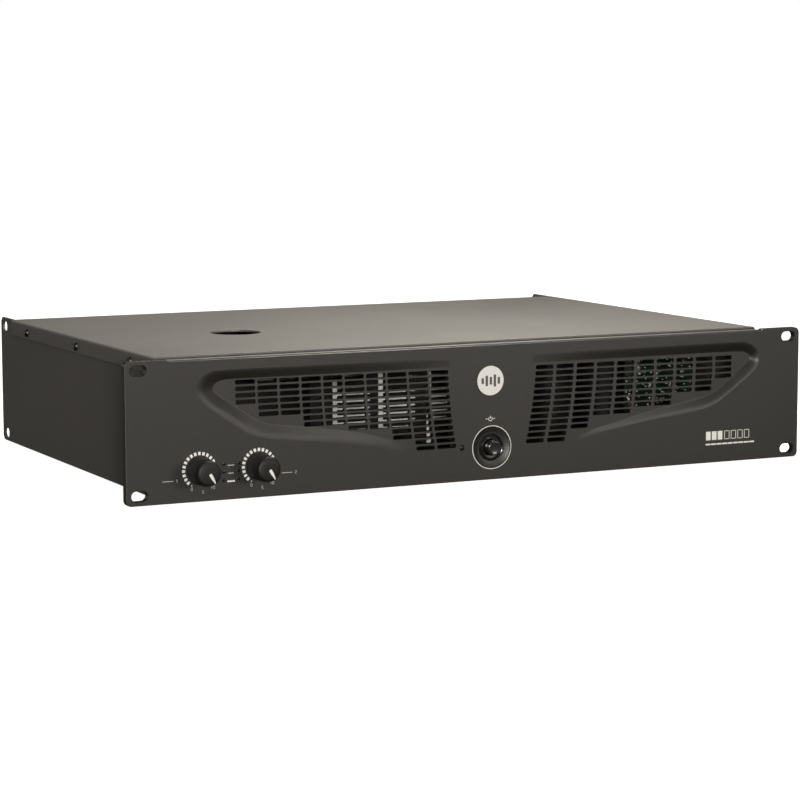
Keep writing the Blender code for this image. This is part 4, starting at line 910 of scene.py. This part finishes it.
def front_screw():
    """A small domed screw with a cross sunk into its head."""
    body = bmesh.new()
    profile = [(0.0, SCREW_FRONT), (0.0009, -0.00045), (0.0014, -0.0002), (0.00165, 0.0002),
               (0.00165, 0.0010), (0.0012, 0.0014), (0.0012, 0.0100), (0.0, 0.0100)]
    add_turned(body, profile, FRONT_SCREW, 40)
    head = to_object("panel_screw", body)
    cut = bmesh.new()
    x, z = FRONT_SCREW
    a, b = CROSS_REACH, CROSS_HALF
    cross = ((-b, -a), (b, -a), (b, -b), (a, -b), (a, b), (b, b), (b, a), (-b, a), (-b, b), (-a, b),
             (-a, -b), (-b, -b))
    add_prism(cut, [(x + i, z + k) for i, k in cross], SCREW_FRONT - 0.001, SCREW_FRONT + 0.0006)
    boolean(head, cut, "DIFFERENCE")
    settle(head, 35.0)
    finish_piece(head, "screw", body_of("front_screw"), ("front_screw",))


LIGHT_RIM = ((0.00118, -0.0004), (0.0017, -0.00035), (0.0019, -0.00002), (0.00145, -0.00002),
             (0.00145, 0.0030), (0.00118, 0.0030))


def light_windows():
    """A raised rim round each indicator window."""
    for number, across in enumerate(LIGHT_X, 1):
        for row, up in enumerate(LIGHT_Z, 1):
            body = bmesh.new()
            add_turned(body, LIGHT_RIM, (across, up), 32)
            make_piece(f"light_rim_{number}_{row}", body, "plastic")


# ---------------------------------------------------------------- inside


TRANSFORMER_CENTRE = (-0.1115, 0.1410)
RING_LOW, RING_HIGH = (0.0180, 0.0056), (0.0495, 0.0676)
TAPE_TURNS = 60
STEPS_PER_TURN = 5
TAPE_STEP = 0.0006
CARD_X = (0.1510, 0.2030)
CARD_Z = (0.0160, 0.0635)
CARD_FRONT_Y = 0.0760
FAN_CENTRE = (-0.0100, 0.0445)
GUARD_RADII = (0.0375, 0.0300, 0.0225, 0.0150, 0.0075)
GUARD_WIRE = 0.00070
GUARD_REACH = 0.0365
CONNECTOR_Z = (0.0240, 0.0640)
INPUT_X = 0.1880
SPEAKER_X = 0.1150
POST_X = (0.0640, 0.0830)
INLET_CENTRE = (-0.1780, 0.0280)


def transformer():
    """A ring wound in overlapping turns of tape, each turn a low ridge."""
    outline = rounded_box_outline(RING_LOW, RING_HIGH, 0.0110, 5)
    middle = ((RING_LOW[0] + RING_HIGH[0]) / 2, (RING_LOW[1] + RING_HIGH[1]) / 2)
    segments = TAPE_TURNS * STEPS_PER_TURN
    body = bmesh.new()
    rings = []
    for i in range(segments):
        angle = 2 * math.pi * i / segments
        ring = []
        for k, (radius, up) in enumerate(outline):
            wave = (i / STEPS_PER_TURN + k / len(outline)) % 1.0
            sink = TAPE_STEP * (1.0 - wave) + 0.00012 * math.sin(7.0 * angle + k)
            away = Vector((radius - middle[0], up - middle[1])).normalized() * max(0.0, sink)
            ring.append(((radius - away.x) * math.cos(angle) + TRANSFORMER_CENTRE[0],
                         (radius - away.x) * math.sin(angle) + TRANSFORMER_CENTRE[1], up - away.y))
        rings.append(ring)
    add_rings(body, rings, loop=True)
    make_piece("wound_ring", body, "tape", stands_for=("transformer",), sharp=60.0, weighted=False)


def card_parts():
    """Small parts and solder pads over the upright card of the supply board."""
    draw = random.Random(4107)
    for look, count, sizes in (("solder", 190, (0.0006, 0.0014)), ("plastic", 26, (0.0016, 0.0042)),
                               ("faint_ink", 34, (0.0008, 0.0020))):
        body = bmesh.new()
        for _ in range(count):
            x, z = draw.uniform(*CARD_X), draw.uniform(*CARD_Z)
            w, h = draw.uniform(*sizes) / 2, draw.uniform(*sizes) / 2
            deep = draw.uniform(0.0003, 0.0009)
            outline = rounded_box_outline((x - w, z - h), (x + w, z + h), min(w, h) * 0.3, 2)
            add_prism(body, outline, CARD_FRONT_Y - deep, CARD_FRONT_Y + 0.00005)
        make_piece(f"card_parts_{look}", body, look)


# ---------------------------------------------------------------- rear


def circle_points(radius, count):
    return [(radius * math.cos(2 * math.pi * i / count), radius * math.sin(2 * math.pi * i / count))
            for i in range(count)]


def add_wire(body, start, end, y, radius):
    """A straight round wire between two (X, Z) places, both at the same Y."""
    along = (Vector(end) - Vector(start)).normalized()
    side = Vector((-along.y, along.x))
    add_rings(body, [[(place[0] + side.x * a, y + b, place[1] + side.y * a)
                      for a, b in circle_points(radius, 12)] for place in (start, end)])


def fan_guard():
    """Round wire rings welded to two crossed wires, held by a screw at each end."""
    y = REAR_Y + 0.00125
    dome = [(0.0, y + 0.0009), (0.0012, y + 0.0008), (0.0019, y + 0.0004), (0.0020, y - 0.0008),
            (0.0, y - 0.0008)]
    body = bmesh.new()
    for radius in GUARD_RADII:
        add_turned(body, [(radius + a, y + b) for a, b in circle_points(GUARD_WIRE, 10)], FAN_CENTRE, 96)
    for turn in (-1, 1):
        ends = [(FAN_CENTRE[0] + k * GUARD_REACH, FAN_CENTRE[1] + turn * k * GUARD_REACH) for k in (-1, 1)]
        add_wire(body, *ends, y, GUARD_WIRE)
        for place in ends:
            add_turned(body, dome, place, 24)
    make_piece("fan_wire_guard", body, "steel", body_of("fan_guard"), ("fan_guard",), 50.0)


def add_rounded_plug(body, radius, start, end, edge, centre, segments):
    """A plug with its rims rounded, its start and end measured from the rear panel's face."""
    start, end = REAR_Y + start, REAR_Y + end
    profile = rounded_profile([(0.0, start), (radius, start), (radius, end), (0.0, end)], edge, 3)
    add_turned(body, profile, centre, segments)


def add_pin(body, centre, half_width, half_height, start, end):
    """A flat contact with rounded corners, its start and end measured from the rear panel's face."""
    x, z = centre
    outline = rounded_box_outline((x - half_width, z - half_height), (x + half_width, z + half_height),
                                  0.0003, 2)
    add_prism(body, outline, REAR_Y + start, REAR_Y + end)


def connector_details():
    """Contacts and inserts in the mouths of the rear connectors."""
    for number, up in enumerate(CONNECTOR_Z, 1):
        body = bmesh.new()
        add_rounded_plug(body, 0.0078, -0.0120, -0.0012, 0.0005, (INPUT_X, up), 48)
        insert = to_object(f"input_insert_{number}", body)
        holes = bmesh.new()
        for angle in (55.0, 180.0, 305.0):
            place = turned_point((INPUT_X, up), 0.0045, angle)
            add_plug(holes, 0.00125, place, 20, REAR_Y - 0.0090, REAR_Y)
        boolean(insert, holes, "DIFFERENCE")
        settle(insert, 40.0)
        finish_piece(insert, "gloss")
        body = bmesh.new()
        for angle in (45.0, 135.0, 225.0, 315.0):
            add_pin(body, turned_point((SPEAKER_X, up), 0.0072, angle), 0.0007, 0.0007, -0.0127, -0.0050)
        make_piece(f"speaker_contacts_{number}", body, "steel")
        body = bmesh.new()
        for across in POST_X:
            add_rounded_plug(body, 0.00195, 0.0150, 0.0192, 0.0003, (across, up), 28)
        make_piece(f"post_tips_{number}", body, "steel")
    body = bmesh.new()
    for across, up in ((0.0, 0.0020), (-0.0070, -0.0020), (0.0070, -0.0020)):
        add_pin(body, (INLET_CENTRE[0] + across, INLET_CENTRE[1] + up), 0.00104, 0.00204, -0.0129, 0.00054)
    make_piece("inlet_pins", body, "steel")


front_panel()
tick_marks()
printed_scales()
power_marks()
model_bars()
badge()
gain_knobs()
power_control()
light_windows()
front_screw()
transformer()
card_parts()
fan_guard()
connector_details()

MADE_FRESH = {"front_panel", "badge", "gain_knob_1", "gain_knob_2", "power_bezel", "power_button",
              "front_screw", "transformer", "fan_guard"}
SHEET_PIECES = {"side_left", "side_right", "top_cover", "rear_panel", "subpanel", "base_pan"}
SHEET_EDGE, SMALL_EDGE = 0.00030, 0.00018
for node_name in sorted(NODES):
    if node_name not in MADE_FRESH:
        piece = refined(node_name, SHEET_EDGE if node_name in SHEET_PIECES else SMALL_EDGE)
        if node_name.startswith("heat_sink"):
            # Front-facing ends of the heat sinks take the pale copy: painted light on the cut ends, beside
            # their bare metal.
            second_look(piece, "bare_end_and_painted_light", 1, -0.6)


# ---------------------------------------------------------------- stage


FLOOR_HALF = 14.0
FLOOR_Z = -0.0002
FLOOR_GLOW = 0.82
# Strength of the surroundings: from below, and how far back (along Y) they begin to brighten.
WORLD_LOW = 0.06
WORLD_FRONT = 0.10
WORLD_BACK = 0.19
WARM = (1.0, 0.955, 0.88)
# Name, place, target, size and power of each light.
LIGHTS = (
    ("back_softbox", (0.25, 1.30, 1.30), (0.0, 0.05, 0.05), (2.6, 1.2), 8.0),
    ("right_softbox", (1.02, -1.97, 0.42), (0.0, -0.15, 0.05), (0.5, 0.6), 12.5),
    ("key_light", (-0.80, -2.10, 0.36), (-0.03, -0.1, 0.05), (0.22, 0.22), 50.0),
    ("cover_light", (0.06, -0.07, 0.44), (0.06, -0.069, 0.05), (0.14, 0.14), 4.3),
)


def area_light(name, place, target, size, power):
    light = bpy.data.lights.new(name, "AREA")
    light.shape = "RECTANGLE"
    light.size, light.size_y = size
    light.energy = power
    light.color = WARM
    obj = bpy.data.objects.new(name, light)
    obj.location = place
    obj.rotation_euler = (Vector(target) - Vector(place)).to_track_quat("-Z", "Y").to_euler()
    bpy.context.scene.collection.objects.link(obj)


def studio_floor():
    body = bmesh.new()
    corners = ((-FLOOR_HALF, -FLOOR_HALF), (FLOOR_HALF, -FLOOR_HALF), (FLOOR_HALF, FLOOR_HALF),
               (-FLOOR_HALF, FLOOR_HALF))
    body.faces.new([body.verts.new((x, y, FLOOR_Z)) for x, y in corners])
    mesh = bpy.data.meshes.new("studio_floor")
    body.to_mesh(mesh)
    body.free()
    floor = bpy.data.objects.new("studio_floor", mesh)
    bpy.context.scene.collection.objects.link(floor)
    material, tree, shader = node_material("pale_floor")
    drift = noise_node(tree, object_coords(tree), 3.0, 2.0)
    pale = colour_ramp(tree, drift, ((0.2, (0.86, 0.86, 0.86)), (0.8, (0.90, 0.90, 0.90))))
    put(tree, shader, {"Base Color": pale, "Roughness": 0.8, "Specular IOR Level": 0.2,
                       "Emission Color": (1.0, 1.0, 1.0), "Emission Strength": FLOOR_GLOW})
    mesh.materials.append(material)
    floor.visible_diffuse = False
    floor.visible_glossy = False


def math_node(tree, operation, *values):
    node = tree.nodes.new("ShaderNodeMath")
    node.operation = operation
    return put(tree, node, dict(enumerate(values))).outputs[0]


def surroundings():
    """Plain white for the camera. For the object they are dim below, brighter behind and to the left."""
    world = bpy.data.worlds.new("studio")
    bpy.context.scene.world = world
    world.use_nodes = True
    tree = world.node_tree
    parts = add_node(tree, "SeparateXYZ", Vector=add_node(tree, "TexCoord").outputs["Generated"])
    above = map_range(tree, parts.outputs["Z"], 0.0, 1.0, -0.10, 0.04)
    behind = map_range(tree, parts.outputs["Y"], WORLD_FRONT, WORLD_BACK, -0.20, 0.60)
    across = map_range(tree, parts.outputs["X"], 2.40, 0.80, -0.45, 0.30)
    sky = math_node(tree, "MULTIPLY_ADD", above, math_node(tree, "MULTIPLY", behind, across), WORLD_LOW)
    seen = add_node(tree, "LightPath").outputs["Is Camera Ray"]
    mix = put(tree, tree.nodes.new("ShaderNodeMix"), {0: seen, 2: sky, 3: 1.0})
    put(tree, tree.nodes["Background"], {"Strength": mix.outputs[0],
                                         "Color": mix_colours(tree, seen, WARM, (1.0, 1.0, 1.0))})


# The photograph's camera: degrees round from the front, up and rolled, distance, millimetres of lens.
CAMERA_AZIMUTH = 25.82
CAMERA_ELEVATION = 6.96
CAMERA_ROLL = -0.15
CAMERA_DISTANCE = 1.678
CAMERA_LENS = 120.2
CAMERA_TARGET = (-0.0583, FACE_Y, 0.0550)


def photo_camera():
    azimuth, elevation = math.radians(CAMERA_AZIMUTH), math.radians(CAMERA_ELEVATION)
    back = Vector((-math.sin(azimuth) * math.cos(elevation), -math.cos(azimuth) * math.cos(elevation),
                   math.sin(elevation)))
    camera = bpy.data.cameras.new("photo_camera")
    camera.sensor_width = 36.0
    camera.lens = CAMERA_LENS
    camera.clip_start = 0.01
    obj = bpy.data.objects.new("photo_camera", camera)
    obj.location = Vector(CAMERA_TARGET) + back * CAMERA_DISTANCE
    turn = (-back).to_track_quat("-Z", "Y").to_matrix().to_4x4()
    obj.rotation_euler = (turn @ Matrix.Rotation(math.radians(CAMERA_ROLL), 4, "Z")).to_euler()
    bpy.context.scene.collection.objects.link(obj)
    bpy.context.scene.camera = obj


studio_floor()
surroundings()
for light_values in LIGHTS:
    area_light(*light_values)
photo_camera()
bpy.context.scene.view_settings.view_transform = "Standard"
bpy.context.view_layer.update()
